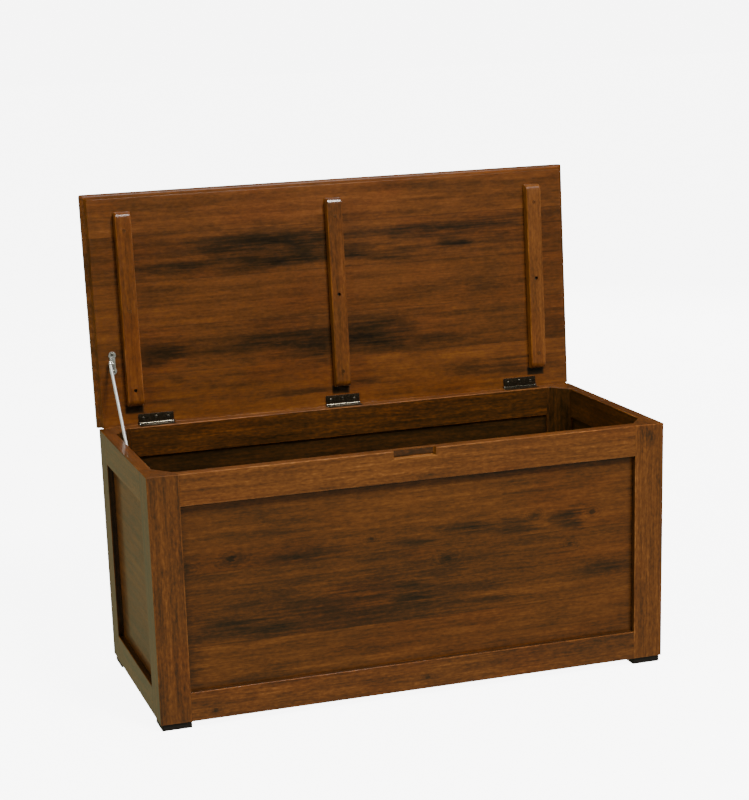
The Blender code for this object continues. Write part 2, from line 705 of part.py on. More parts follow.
def build_stay_rod(pivot, reach):
    """The rod, with the eye at its upper end, along -Z of its pivot, and the stop collar at its foot."""
    stop_start = reach + GUIDE_LENGTH / 2 + 0.0005
    end = stop_start + STOP_LENGTH + ROD_TAIL
    profile = [(ROD_RADIUS, 0.0032), (ROD_RADIUS, end - 0.001), (ROD_RADIUS - 0.001, end)]
    rod = add_object("stay_rod", turned(profile, ROUND_SIDES, pointing((0, 0, 0), (0, 0, -1))), BRIGHT_METAL, pivot)
    half = ROD_EYE_THICKNESS / 2
    across = pointing((0, 0, 0), (1, 0, 0))
    join(rod, turned([(ROD_EYE_RADIUS, -half), (ROD_EYE_RADIUS, half)], 20, across))
    hole = RIVET_RADIUS + RIVET_CLEARANCE
    cut(rod, turned([(hole, -0.01), (hole, 0.01)], 12, across))

    bore = ROD_RADIUS + GAP
    wall = [(bore, 0.0), (STOP_RADIUS - 0.001, 0.0), (STOP_RADIUS, 0.001), (STOP_RADIUS, STOP_LENGTH - 0.001)]
    wall += [(STOP_RADIUS - 0.001, STOP_LENGTH), (bore, STOP_LENGTH)]
    collar = turned(wall, ROUND_SIDES, pointing((0, 0, -stop_start), (0, 0, -1)), hollow=True)
    add_object("stay_stop_collar", collar, BRIGHT_METAL, pivot)


def build_stay_guide(pivot, centre):
    """The swivelling eye that the rod slides through, and its base on the left rail."""
    half = GUIDE_LENGTH / 2
    wall = [(GUIDE_BORE, -half), (GUIDE_RADIUS - 0.001, -half), (GUIDE_RADIUS, 0.001 - half)]
    wall += [(GUIDE_RADIUS, half - 0.001), (GUIDE_RADIUS - 0.001, half), (GUIDE_BORE, half)]
    guide = add_object("stay_guide", turned(wall, ROUND_SIDES, hollow=True), BRIGHT_METAL, pivot)
    wall_x = -INNER_X
    stud_end = wall_x + 0.0008 - STAY_X
    stud = [(STUD_RADIUS, -stud_end), (STUD_RADIUS, 0.0045)]
    join(guide, turned(stud, 16, pointing((0, 0, 0), (-1, 0, 0))))

    outer = wall_x + GAP
    plate = outer + STAY_PLATE_THICKNESS
    outline = stadium((centre.y, centre.z), BASE_LENGTH / 2, BASE_WIDTH / 2)
    base = add_object("stay_guide_base", prism(outline, outer, plate, "X"), BRIGHT_METAL)
    boss = [(BOSS_RADIUS, -0.0005), (BOSS_RADIUS, BOSS_HEIGHT)]
    join(base, turned(boss, 20, pointing((plate, centre.y, centre.z), (1, 0, 0))))
    hole = STUD_RADIUS + 0.0003
    cut(base, turned([(hole, -0.01), (hole, 0.01)], 16, pointing((plate, centre.y, centre.z), (1, 0, 0))))
    for name, step in (("lower", -1), ("upper", 1)):
        place = Vector((plate - 0.0001, centre.y, centre.z + step * BASE_SCREW_SPACING))
        cut(base, screw_hole(STAY_SCREW, place, (-1, 0, 0)))
        cut(bpy.data.objects["top_rail_left"], screw_hole(STAY_SCREW, place, (-1, 0, 0)))
        add_object(f"stay_base_screw_{name}", screw(STAY_SCREW, place, (-1, 0, 0)), BRIGHT_METAL)


# ---- assembly ---------------------------------------------------------------------------------------------


def build_carcass():
    for name, side, facing in CORNERS:
        build_post(f"post_{name}", side, facing)
    for name, along_x, at_low_side in (
        ("front", True, True),
        ("rear", True, False),
        ("left", False, True),
        ("right", False, False),
    ):
        build_rail(f"top_rail_{name}", along_x, at_low_side, top=True)
        build_rail(f"bottom_rail_{name}", along_x, at_low_side, top=False)
        build_panel(f"panel_{name}", along_x, at_low_side)
    cut_finger_notch(bpy.data.objects["top_rail_front"])
    build_bottom()
    build_feet()


def build_hinges(lid_axis, body_axis):
    """Three butt hinges: their body leaves on the rear rail, their lid leaves under the lid."""
    rail_holes = []
    for name, centre in zip(("left", "middle", "right"), HINGE_CENTRES):
        build_leaf(f"hinge_body_leaf_{name}", centre, -1, body_axis)
        build_leaf(f"hinge_lid_leaf_{name}", centre, 1, lid_axis)
        build_hinge_pin(f"hinge_pin_{name}", centre, body_axis)
        for place in leaf_screw_places(centre, -1):
            rail_holes.append(screw_hole(LEAF_SCREW, HINGE_AXIS + place, (0, 0, -1)))
    cut(bpy.data.objects["top_rail_rear"], merged(rail_holes))


def build_lid_assembly(lid_axis):
    build_lid(lid_axis)
    for name, centre in zip(("left", "middle", "right"), BATTEN_CENTRES):
        build_batten(f"lid_batten_{name}", centre, lid_axis)
        for spot, place in zip(("rear", "middle", "front"), batten_screw_places(centre)):
            data = screw(BATTEN_SCREW, place, (0, 0, 1))
            add_object(f"batten_screw_{name}_{spot}", data, HINGE_METAL, lid_axis)
    build_stay_bracket(lid_axis)


def build_stay():
    """The stay's two pivots are equally far from the hinge line, so the rod turns half as far as the lid."""
    pivot_angle = math.atan2(STAY_PIVOT.z, STAY_PIVOT.y) - OPEN_ANGLE
    guide_angle = STAY_GUIDE_DROP - math.pi
    across = Vector((STAY_X, 0.0, 0.0))
    upper = HINGE_AXIS + across + STAY_RADIUS * Vector((0.0, math.cos(pivot_angle), math.sin(pivot_angle)))
    lower = HINGE_AXIS + across + STAY_RADIUS * Vector((0.0, math.cos(guide_angle), math.sin(guide_angle)))
    line = lower - upper
    turn = math.atan2(line.y, -line.z)
    build_stay_rod(add_axis("stay_rod_axis", upper, turn), line.length)
    build_stay_guide(add_axis("stay_guide_axis", lower, turn), lower)


def smooth_round_pieces():
    for item in bpy.data.objects:
        if item.type == "MESH":
            item.data.shade_smooth()
            item.data.set_sharp_from_angle(angle=math.radians(35.0))


def main():
    clear_scene()
    lid_axis = add_axis("lid_axis", HINGE_AXIS, -OPEN_ANGLE)
    body_axis = add_axis("body_hinge_axis", HINGE_AXIS, 0.0)
    build_carcass()
    build_hinges(lid_axis, body_axis)
    build_lid_assembly(lid_axis)
    build_stay()
    smooth_round_pieces()


main()
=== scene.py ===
"""The look of a wooden storage chest: stained boards, dark butt hinges and a bright lid stay.

The boards, panels, battens and feet, and the stay's rod, guide and base, are CAD nodes that get
their materials here.  The hinges, the screws, the plugs and the stay's fittings on the lid are made
here, with cross recesses, dished plates and soft rims, and most of them stand for CAD nodes.
"""

import json
import math

import bmesh
import bpy
from mathutils import Matrix, Vector


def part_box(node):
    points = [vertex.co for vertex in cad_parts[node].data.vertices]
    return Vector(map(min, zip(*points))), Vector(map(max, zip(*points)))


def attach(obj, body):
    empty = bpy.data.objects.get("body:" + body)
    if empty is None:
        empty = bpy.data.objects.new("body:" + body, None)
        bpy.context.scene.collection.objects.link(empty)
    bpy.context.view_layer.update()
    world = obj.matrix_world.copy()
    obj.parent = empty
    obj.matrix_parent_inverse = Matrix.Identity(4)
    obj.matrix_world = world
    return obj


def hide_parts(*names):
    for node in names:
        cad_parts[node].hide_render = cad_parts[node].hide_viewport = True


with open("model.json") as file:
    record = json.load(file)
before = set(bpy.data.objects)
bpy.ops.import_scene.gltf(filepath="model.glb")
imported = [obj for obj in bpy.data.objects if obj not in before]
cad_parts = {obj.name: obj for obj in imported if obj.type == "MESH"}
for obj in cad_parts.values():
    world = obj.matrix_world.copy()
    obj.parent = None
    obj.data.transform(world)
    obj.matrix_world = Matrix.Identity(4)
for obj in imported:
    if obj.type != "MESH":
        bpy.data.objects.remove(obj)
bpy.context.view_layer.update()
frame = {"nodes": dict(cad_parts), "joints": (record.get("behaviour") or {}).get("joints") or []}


def joint_place(name):
    """Where a joint stands at rest."""
    return Vector(next(joint for joint in frame["joints"] if joint["name"] == name)["pos_m"])


# The lid's own frame: X along the hinge line, Y to the back and Z up when the lid is shut
OPEN_ANGLE = math.radians(94.0)
HINGE = joint_place("lid_hinge")
LID_TO_ROW = Matrix.Translation(HINGE) @ Matrix.Rotation(-OPEN_ANGLE, 4, "X")
BODY_TO_ROW = Matrix.Translation(HINGE)
ROW_TO_LID = LID_TO_ROW.inverted()
# The line near the lid's rear edge from which the places of its planks and stains are measured
PLANK_DATUM = -0.003
SIDES = ("left", "middle", "right")


# ---- node shorthand -----------------------------------------------------------------------------


class Graph:
    """Shorthand for wiring the nodes of one material."""

    def __init__(self, name):
        self.material = bpy.data.materials.new(name)
        self.material.use_nodes = True
        self.tree = self.material.node_tree
        self.surface = self.tree.nodes["Principled BSDF"]

    def feed(self, socket, value):
        if isinstance(value, bpy.types.NodeSocket):
            self.tree.links.new(value, socket)
        else:
            socket.default_value = value

    def add(self, kind, inputs, output=0, **settings):
        node = self.tree.nodes.new("ShaderNode" + kind)
        for key, value in settings.items():
            setattr(node, key, value)
        for key, value in inputs.items():
            self.feed(node.inputs[key], value)
        return node.outputs[output]

    def math(self, operation, a, b=0.0):
        return self.add("Math", {0: a, 1: b}, operation=operation)

    def plus(self, *terms):
        total = terms[0]
        for term in terms[1:]:
            total = self.math("ADD", total, term)
        return total

    def times(self, a, b):
        return self.math("MULTIPLY", a, b)

    def swing(self, value, amount):
        """A noise value's deviation from its middle, times amount."""
        return self.times(self.math("SUBTRACT", value, 0.5), amount)

    def smooth(self, value, start, end, low=0.0, high=1.0):
        """A smooth step from low at start to high at end."""
        inputs = {"Value": value, "From Min": start, "From Max": end, "To Min": low, "To Max": high}
        return self.add("MapRange", inputs, interpolation_type="SMOOTHSTEP")

    def combine(self, x, y, z):
        return self.add("CombineXYZ", {0: x, 1: y, 2: z})

    def split(self, vector):
        node = self.tree.nodes.new("ShaderNodeSeparateXYZ")
        self.feed(node.inputs[0], vector)
        return list(node.outputs)

    def noise(self, vector, scale=1.0, detail=2.0, roughness=0.5, distortion=0.0):
        inputs = {"Vector": vector, "Scale": scale, "Detail": detail}
        inputs.update({"Roughness": roughness, "Distortion": distortion})
        return self.add("TexNoise", inputs)

    def ramp(self, value, stops):
        node = self.tree.nodes.new("ShaderNodeValToRGB")
        self.feed(node.inputs[0], value)
        elements = node.color_ramp.elements
        while len(elements) < len(stops):
            elements.new(0.5)
        for element, (place, colour) in zip(elements, stops):
            element.position = place
            element.color = (*colour, 1.0)
        return node.outputs[0]

    def mix(self, factor, a, b, blend="MIX"):
        inputs = {0: factor, 6: a, 7: b}
        return self.add("Mix", inputs, output=2, data_type="RGBA", blend_type=blend)

    def bump(self, height, strength, distance):
        return self.add("Bump", {"Height": height, "Strength": strength, "Distance": distance})

    def place(self):
        return self.tree.nodes.new("ShaderNodeTexCoord").outputs["Object"]

    def lid_place(self):
        """The place in the lid's own frame, which a point of the lid keeps at every pose."""
        turn = Matrix.Rotation(OPEN_ANGLE, 4, "X")
        inputs = {"Vector": self.place(), "Location": -(turn @ HINGE)}
        inputs["Rotation"] = (OPEN_ANGLE, 0.0, 0.0)
        return self.add("Mapping", inputs, vector_type="POINT")


def nearest_edge(graph, axes, low, high):
    """How far a point on a box's surface is from the nearest edge: the middle one of its depths."""
    depths = []
    for axis, start, end in zip(axes, low, high):
        past_start = graph.math("SUBTRACT", axis, start)
        depths.append(graph.math("MINIMUM", past_start, graph.math("SUBTRACT", end, axis)))
    first, second, third = depths
    lower = graph.math("MINIMUM", first, second)
    upper = graph.math("MAXIMUM", first, second)
    return graph.math("MAXIMUM", lower, graph.math("MINIMUM", upper, third))


def lid_box(node):
    """A lid node's lowest and highest corners in the lid's own frame."""
    points = [ROW_TO_LID @ vertex.co for vertex in frame["nodes"][node].data.vertices]
    return tuple(tuple(pick(point[i] for point in points) for i in range(3)) for pick in (min, max))


# ---- wood ---------------------------------------------------------------------------------------

STAIN_STOPS = [
    (0.00, (0.0050, 0.0034, 0.0015)),
    (0.22, (0.023, 0.0118, 0.0031)),
    (0.42, (0.060, 0.0228, 0.0050)),
    (0.62, (0.125, 0.0410, 0.0072)),
    (0.82, (0.205, 0.0720, 0.0130)),
    (1.00, (0.330, 0.1350, 0.0330)),
]
AXES = {"x": 0, "y": 1, "z": 2}
# How much each layer of the wood's pattern, and the lighter arrises, which are partly painted
# highlight, move the stain's darkness
MOTTLE, CLOUD, STREAK = 0.46, 0.26, 0.27
GRAIN, SPECKLE, FIBRE = 0.36, 0.34, 0.20
RINGS, PORES, ARRIS_WEAR_AND_HIGHLIGHT, GLUE_LINE = 0.030, -0.10, 0.22, -0.10
RINGS_ACROSS, RINGS_DEEP, RINGS_BEND = 260.0, 180.0, 16.0
STAIN_PATCH, KNOT, BORDER_DARKENING = -0.32, -0.27, -0.14
BORDER_DARK_WIDTH = 0.016
# How wide a knot is for its length
KNOT_ROUNDNESS = 0.7
LACQUER, LACQUER_ROUGHNESS, WOOD_ROUGHNESS, WOOD_SPECULAR = 0.40, 0.12, 0.33, 0.25
RED_STAIN = (1.0, 0.86, 0.80, 1.0)


def wood(
    name,
    along,
    across,
    box,
    lid=False,
    tone=0.55,
    seed=0.0,
    joints=(),
    patches=(),
    knots=(),
    border=None,
    fine=1.0,
    coat=LACQUER,
    warmth=0.0,
    hollows=(),
):
    """Stained, lacquered wood.

    along and across name the axes of the grain and of the board's width, and box gives its corners.
    lid says that all places are in the lid's own frame.  Lengths are in metres.
    joints: (place across, change of tone) for the planks past each glue line.
    patches: dark stains, as (along, across, half length, half width, strength).
    knots: (along, across, radius).
    border: the sight size of a panel, which is darker by its frame.
    fine, coat: how strong the fine grain and the lacquer are.  warmth: how red the stain is.
    hollows: (low, high, amount, softness) boxes of painted shade, in which the wood is darker, or with
    a negative amount boxes of painted highlight, in which it is lighter.
    """
    graph = Graph(name)
    axes = graph.split(graph.lid_place() if lid else graph.place())
    u = axes[AXES[along]]
    v = axes[AXES[across]]
    w = axes[({0, 1, 2} - {AXES[along], AXES[across]}).pop()]

    board = seed
    shift = 0.0
    seam = 0.0
    for place, change in joints:
        beyond = graph.math("GREATER_THAN", v, place)
        board = graph.plus(graph.times(beyond, 5.31), board)
        shift = graph.plus(graph.times(beyond, change), shift)
        line = graph.math("ABSOLUTE", graph.math("SUBTRACT", v, place))
        seam = graph.plus(graph.smooth(line, 0.0010, 0.0002), seam)

    def field(stretch_u, stretch_v, drift=0.0):
        first = graph.plus(graph.times(u, stretch_u), graph.times(board, 3.7), drift)
        second = graph.plus(graph.times(v, stretch_v), graph.times(board, 2.3))
        return graph.combine(first, second, graph.plus(graph.times(w, stretch_v), board))

    mottle = graph.noise(field(3.2, 13.0), detail=5.0, roughness=0.62)
    cloud = graph.noise(field(11.0, 34.0, 4.0), detail=4.0, roughness=0.65)
    streak = graph.noise(field(1.6, 60.0, 9.0), detail=5.0, roughness=0.66)
    grain = graph.noise(field(9.0, 210.0, 7.0), detail=3.0, roughness=0.65)
    speckle = graph.noise(field(95.0, 240.0, 11.0), detail=2.0, roughness=0.6)
    fibre = graph.noise(field(30.0, 820.0, 2.0), detail=2.0, roughness=0.6)
    pore_field = graph.noise(field(70.0, 1500.0, 6.0), detail=1.0)
    pores = graph.smooth(pore_field, 0.60, 0.74)

    bend = graph.noise(field(1.7, 7.0, 1.0), detail=2.0)
    phase = graph.plus(graph.times(v, RINGS_ACROSS), graph.times(w, RINGS_DEEP))
    phase = graph.plus(phase, graph.times(bend, RINGS_BEND))
    # The place along and across, drawn out of true so that the stains' outlines are ragged
    ragged_u = graph.plus(u, graph.swing(mottle, 0.06), graph.swing(streak, 0.08))
    ragged_u = graph.plus(ragged_u, graph.swing(grain, 0.06))
    ragged_v = graph.plus(v, graph.swing(cloud, 0.020), graph.swing(streak, 0.012))
    flat = graph.combine(ragged_u, ragged_v, 0.0)

    def distance(point, centre_u, centre_v, half_u, half_v):
        """How far a point is from a centre, with the two half sizes as units."""
        inputs = {0: point, 1: (centre_u, centre_v, 0.0)}
        offset = graph.add("VectorMath", inputs, operation="SUBTRACT")
        inputs = {0: offset, 1: (1 / half_u, 1 / half_v, 0.0)}
        scaled = graph.add("VectorMath", inputs, operation="MULTIPLY")
        return graph.add("VectorMath", {0: scaled}, output=1, operation="LENGTH")

    dark = 0.0
    for centre_u, centre_v, half_u, half_v, strength in patches:
        far = distance(flat, centre_u, centre_v, half_u, half_v)
        dark = graph.plus(graph.smooth(far, 1.35, 0.25, 0.0, strength), dark)
    core = 0.0
    for centre_u, centre_v, radius in knots:
        far = distance(graph.combine(u, v, 0.0), centre_u, centre_v, radius / KNOT_ROUNDNESS, radius)
        far = graph.plus(far, graph.swing(cloud, 1.6), graph.swing(speckle, 1.4))
        phase = graph.plus(phase, graph.smooth(far, 4.0, 0.0, 0.0, 22.0))
        heart = graph.smooth(far, 1.0, 0.3, 0.0, 0.8)
        core = graph.plus(heart, graph.smooth(far, 3.2, 0.6, 0.0, 0.35), core)

    rings = graph.math("SINE", phase)
    edge = nearest_edge(graph, axes, *box)
    # Lighter arrises, partly rubbed wear and partly a painted highlight
    arris_wear_and_highlight = graph.smooth(edge, 0.0026, 0.0004)
    arris_wear_and_highlight = graph.times(arris_wear_and_highlight, graph.smooth(cloud, 0.30, 0.62, 0.25, 1.0))
    value = graph.plus(
        graph.swing(mottle, MOTTLE),
        graph.swing(cloud, CLOUD),
        graph.swing(streak, STREAK),
        graph.swing(grain, GRAIN * fine),
        graph.swing(speckle, SPECKLE * fine),
        graph.swing(fibre, FIBRE * fine),
        graph.times(rings, RINGS),
        graph.times(pores, PORES),
        graph.times(arris_wear_and_highlight, ARRIS_WEAR_AND_HIGHLIGHT),
        graph.times(seam, GLUE_LINE),
        shift,
        tone,
    )
    if patches:
        ragged = graph.plus(graph.times(grain, 0.35), graph.times(cloud, 0.4))
        ragged = graph.smooth(graph.plus(ragged, graph.times(streak, 0.25)), 0.36, 0.60, 1.3, 0.5)
        stain = graph.times(graph.math("MINIMUM", dark, 1.1), ragged)
        value = graph.plus(value, graph.times(stain, STAIN_PATCH))
    if knots:
        value = graph.plus(value, graph.times(graph.math("MINIMUM", core, 1.0), KNOT))
    if border:
        # The panel is darker near its frame, within a given width
        insets = []
        for axis, (start, end) in zip((u, v), border):
            insets += [graph.math("SUBTRACT", axis, start), graph.math("SUBTRACT", end, axis)]
        near_side, near_end = graph.math("MINIMUM", *insets[:2]), graph.math("MINIMUM", *insets[2:])
        border_dark = graph.smooth(graph.math("MINIMUM", near_side, near_end), BORDER_DARK_WIDTH, 0.0)
        border_dark = graph.times(border_dark, graph.smooth(cloud, 0.2, 0.6, 0.4, 1.0))
        value = graph.plus(value, graph.times(border_dark, BORDER_DARKENING))
    # Painted shade, or with a negative amount painted highlight, in each of the given boxes
    for low, high, amount, softness in hollows:
        depth = graph.math("SUBTRACT", axes[0], low[0])
        for axis, start, end in zip(axes, low, high):
            for inset in (graph.math("SUBTRACT", axis, start), graph.math("SUBTRACT", end, axis)):
                depth = graph.math("MINIMUM", depth, inset)
        value = graph.plus(value, graph.smooth(depth, -softness, softness, 0.0, -amount))

    colour = graph.ramp(value, STAIN_STOPS)
    red = graph.smooth(graph.noise(field(5.0, 9.0, 12.0), detail=2.0), 0.42, 0.66)
    redness = graph.plus(graph.times(red, 0.55), warmth)
    colour = graph.mix(redness, colour, RED_STAIN, "MULTIPLY")
    graph.feed(graph.surface.inputs["Base Color"], colour)

    gloss = graph.plus(graph.swing(mottle, 0.16), graph.swing(fibre, 0.10))
    gloss = graph.plus(gloss, graph.times(pores, 0.12), graph.times(arris_wear_and_highlight, 0.06), WOOD_ROUGHNESS)
    graph.feed(graph.surface.inputs["Roughness"], gloss)
    relief = graph.plus(graph.times(fibre, 0.35), graph.times(pores, -0.55))
    relief = graph.plus(relief, graph.times(seam, -0.6), graph.times(streak, 0.35))
    graph.feed(graph.surface.inputs["Normal"], graph.bump(relief, 0.22, 0.0005))
    graph.surface.inputs["Specular IOR Level"].default_value = WOOD_SPECULAR
    graph.surface.inputs["Coat Weight"].default_value = coat
    graph.surface.inputs["Coat Roughness"].default_value = LACQUER_ROUGHNESS
    return graph.material


# ---- metal and pads -----------------------------------------------------------------------------

METAL_PATCHES, METAL_SCRATCHES, METAL_WEAR = 270.0, 1980.0, 0.5
BRUSHING = (60.0, 1700.0, 1700.0)


def metal(name, colour, worn_colour, roughness, metallic=1.0):
    """Plated or bronzed metal with fine scratches, a mottled finish and rubbed patches."""
    graph = Graph(name)
    place = graph.place()
    patchy = graph.noise(place, scale=METAL_PATCHES, detail=4.0, roughness=0.62)
    fine = graph.noise(place, scale=METAL_SCRATCHES, detail=3.0, roughness=0.7)
    stretch = graph.add("Mapping", {"Vector": place, "Scale": BRUSHING}, vector_type="POINT")
    brushed = graph.noise(stretch, scale=1.0, detail=2.0)
    worn = graph.times(graph.smooth(patchy, 0.52, 0.70), METAL_WEAR)
    base = graph.mix(worn, (*colour, 1.0), (*worn_colour, 1.0))
    shade = graph.smooth(fine, 0.25, 0.75, 0.80, 1.08)
    base = graph.mix(1.0, base, graph.combine(shade, shade, shade), "MULTIPLY")
    graph.feed(graph.surface.inputs["Base Color"], base)
    rough = graph.plus(graph.swing(brushed, 0.16), graph.swing(patchy, 0.18))
    rough = graph.plus(rough, graph.times(worn, -0.06), roughness)
    graph.feed(graph.surface.inputs["Roughness"], rough)
    graph.surface.inputs["Metallic"].default_value = metallic
    relief = graph.plus(graph.times(brushed, 0.5), graph.times(fine, 0.5))
    graph.feed(graph.surface.inputs["Normal"], graph.bump(relief, 0.12, 0.0001))
    return graph.material


FOOT_STOPS = [
    (0.00, (0.006, 0.0045, 0.0035)),
    (0.55, (0.016, 0.0110, 0.0080)),
    (1.00, (0.050, 0.0340, 0.0220)),
]


def pad(name):
    """A dark stained foot with a faint grain and scuffed patches."""
    graph = Graph(name)
    place = graph.place()
    grit = graph.noise(place, scale=420.0, detail=4.0, roughness=0.7)
    scuff = graph.smooth(graph.noise(place, scale=90.0, detail=4.0), 0.50, 0.72)
    value = graph.plus(graph.times(grit, 0.5), graph.times(scuff, 0.5))
    graph.feed(graph.surface.inputs["Base Color"], graph.ramp(value, FOOT_STOPS))
    graph.feed(graph.surface.inputs["Roughness"], graph.plus(graph.swing(grit, 0.25), 0.55))
    graph.feed(graph.surface.inputs["Normal"], graph.bump(grit, 0.25, 0.0003))
    return graph.material


# ---- wooden pieces ------------------------------------------------------------------------------


def dress(node, material):
    """Gives a CAD node its material."""
    slots = frame["nodes"][node].data.materials
    slots.clear()
    slots.append(material)


# Dark stains and knots on the front panel, and stains on the lid, whose second number is the
# distance from PLANK_DATUM
FRONT_PATCHES = [
    (-0.230, 0.300, 0.080, 0.018, 0.50),
    (0.000, 0.298, 0.045, 0.015, 0.60),
    (0.075, 0.315, 0.055, 0.018, 0.50),
    (0.200, 0.305, 0.055, 0.020, 0.85),
    (0.315, 0.308, 0.034, 0.022, 1.50),
    (0.120, 0.312, 0.040, 0.016, 0.60),
    (-0.050, 0.195, 0.200, 0.045, 0.30),
    (-0.110, 0.205, 0.290, 0.085, 0.38),
    (-0.330, 0.172, 0.120, 0.026, 0.60),
    (0.390, 0.200, 0.065, 0.016, 0.65),
    (0.180, 0.168, 0.065, 0.010, 0.60),
    (0.000, 0.190, 0.040, 0.045, 0.35),
    (-0.280, 0.080, 0.130, 0.010, 0.40),
    (-0.430, 0.115, 0.018, 0.050, 0.50),
]
FRONT_KNOTS = [
    (-0.351, 0.307, 0.0075),
    (-0.083, 0.313, 0.0040),
    (-0.433, 0.295, 0.0060),
    (0.312, 0.259, 0.0050),
    (0.359, 0.315, 0.0050),
    (0.064, 0.261, 0.0075),
    (0.240, 0.322, 0.0045),
]
LID_PATCHES = [
    (-0.160, 0.318, 0.250, 0.043, 0.38),
    (0.220, 0.318, 0.210, 0.043, 0.38),
    (-0.050, 0.135, 0.330, 0.045, 0.40),
    (-0.200, 0.335, 0.160, 0.022, 0.60),
    (-0.130, 0.300, 0.110, 0.018, 0.85),
    (-0.360, 0.295, 0.090, 0.018, 0.60),
    (-0.050, 0.335, 0.060, 0.030, 0.50),
    (0.190, 0.335, 0.110, 0.018, 0.85),
    (0.260, 0.307, 0.050, 0.008, 0.80),
    (0.030, 0.300, 0.065, 0.010, 0.85),
    (0.100, 0.285, 0.060, 0.006, 0.70),
    (0.340, 0.340, 0.080, 0.020, 0.55),
    (0.280, 0.220, 0.120, 0.030, 0.30),
    (-0.370, 0.130, 0.045, 0.030, 0.70),
    (-0.150, 0.140, 0.090, 0.015, 0.55),
    (-0.050, 0.125, 0.060, 0.035, 0.50),
    (0.070, 0.135, 0.095, 0.032, 0.65),
    (0.215, 0.112, 0.050, 0.012, 0.65),
    (0.060, 0.045, 0.085, 0.008, 0.55),
    (0.340, 0.045, 0.130, 0.030, 0.60),
    (-0.340, 0.075, 0.022, 0.010, 0.55),
    (-0.090, 0.030, 0.075, 0.008, 0.45),
]

# How far the painted shade inside reaches past the inner faces, and how gradually it begins
INSIDE_SKIN = 0.001
SHADE_EDGE = 0.0004
# How much painted shade darkens the wood on the inner sides of the frame and of the panels, on the
# deep sides of the frame around each panel and at the notch's back, and how dark the painted shadow
# under the battens' ends is, where it is softer
INSIDE_FRAME_SHADE, INSIDE_PANEL_SHADE, RECESS_SHADE, NOTCH_BACK_SHADE = 0.23, 0.33, 0.27, 0.32
BATTEN_END_SHADOW, BATTEN_END_SHADOW_EDGE = 0.46, 0.0025
# Painted shade on the back of the finger notch, and a painted highlight along its lower arris, which
# is lighter
NOTCH_SHADE = ((-0.0405, -0.2395, 0.4622), (0.0405, -0.2372, 0.4748), NOTCH_BACK_SHADE, SHADE_EDGE)
NOTCH_ARRIS_HIGHLIGHT = ((-0.0405, -0.2502, 0.4608), (0.0405, -0.2380, 0.4624), -0.34, 0.0003)
# Painted shade on the deep sides of the frame around each panel
RECESS_SHADES = {
    "front": ((-0.4425, -0.2487, 0.0667), (0.4425, -0.2372, 0.4178), RECESS_SHADE, SHADE_EDGE),
    "rear": ((-0.4425, 0.1732, 0.0667), (0.4425, 0.1847, 0.4178), RECESS_SHADE, SHADE_EDGE),
    "left": ((-0.4987, -0.1885, 0.0667), (-0.4872, 0.1245, 0.4178), RECESS_SHADE, SHADE_EDGE),
    "right": ((0.4872, -0.1885, 0.0667), (0.4987, 0.1245, 0.4178), RECESS_SHADE, SHADE_EDGE),
}
# The width and height of each panel that show between the posts and the rails
FRONT_SIGHT = ((-0.4415, 0.4415), (0.0675, 0.417))
SIDE_SIGHT = ((-0.1875, 0.1235), (0.0675, 0.417))
# What the frame's posts and rails have in common
FRAME_TIMBER = {"fine": 1.7, "coat": 0.6, "warmth": 0.2}
POST_TONES = {"front_left": 0.56, "front_right": 0.69, "rear_left": 0.56, "rear_right": 0.58}
POST_KNOTS = {
    "front_left": [(0.300, -0.480, 0.003)],
    "front_right": [(0.4585, 0.466, 0.008), (0.4480, 0.476, 0.004)],
}
RAIL_TONES = {
    "top_rail_front": 0.69,
    "top_rail_rear": 0.62,
    "bottom_rail_front": 0.60,
    "bottom_rail_rear": 0.58,
}
RAIL_KNOTS = {"bottom_rail_front": [(-0.395, 0.028, 0.005), (0.015, 0.034, 0.004)]}
SIDE_RAILS = ("top_rail_left", "top_rail_right", "bottom_rail_left", "bottom_rail_right")


def from_rear(patch):
    """A patch measured from PLANK_DATUM to the front, in the lid's own frame."""
    return (patch[0], PLANK_DATUM - patch[1], *patch[2:])


def inside_shade_box(kind, amount):
    """The box of painted shade inside the four pieces of one kind, taken just past their inner faces.
    """
    sides = ("left", "right", "front", "rear")
    left, right, front, rear = (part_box(f"{kind}_{side}") for side in sides)
    low = (left[1][0] - INSIDE_SKIN, front[1][1] - INSIDE_SKIN, 0.0)
    high = (right[0][0] + INSIDE_SKIN, rear[0][1] + INSIDE_SKIN, front[1][2] - INSIDE_SKIN)
    return (low, high, amount, SHADE_EDGE)


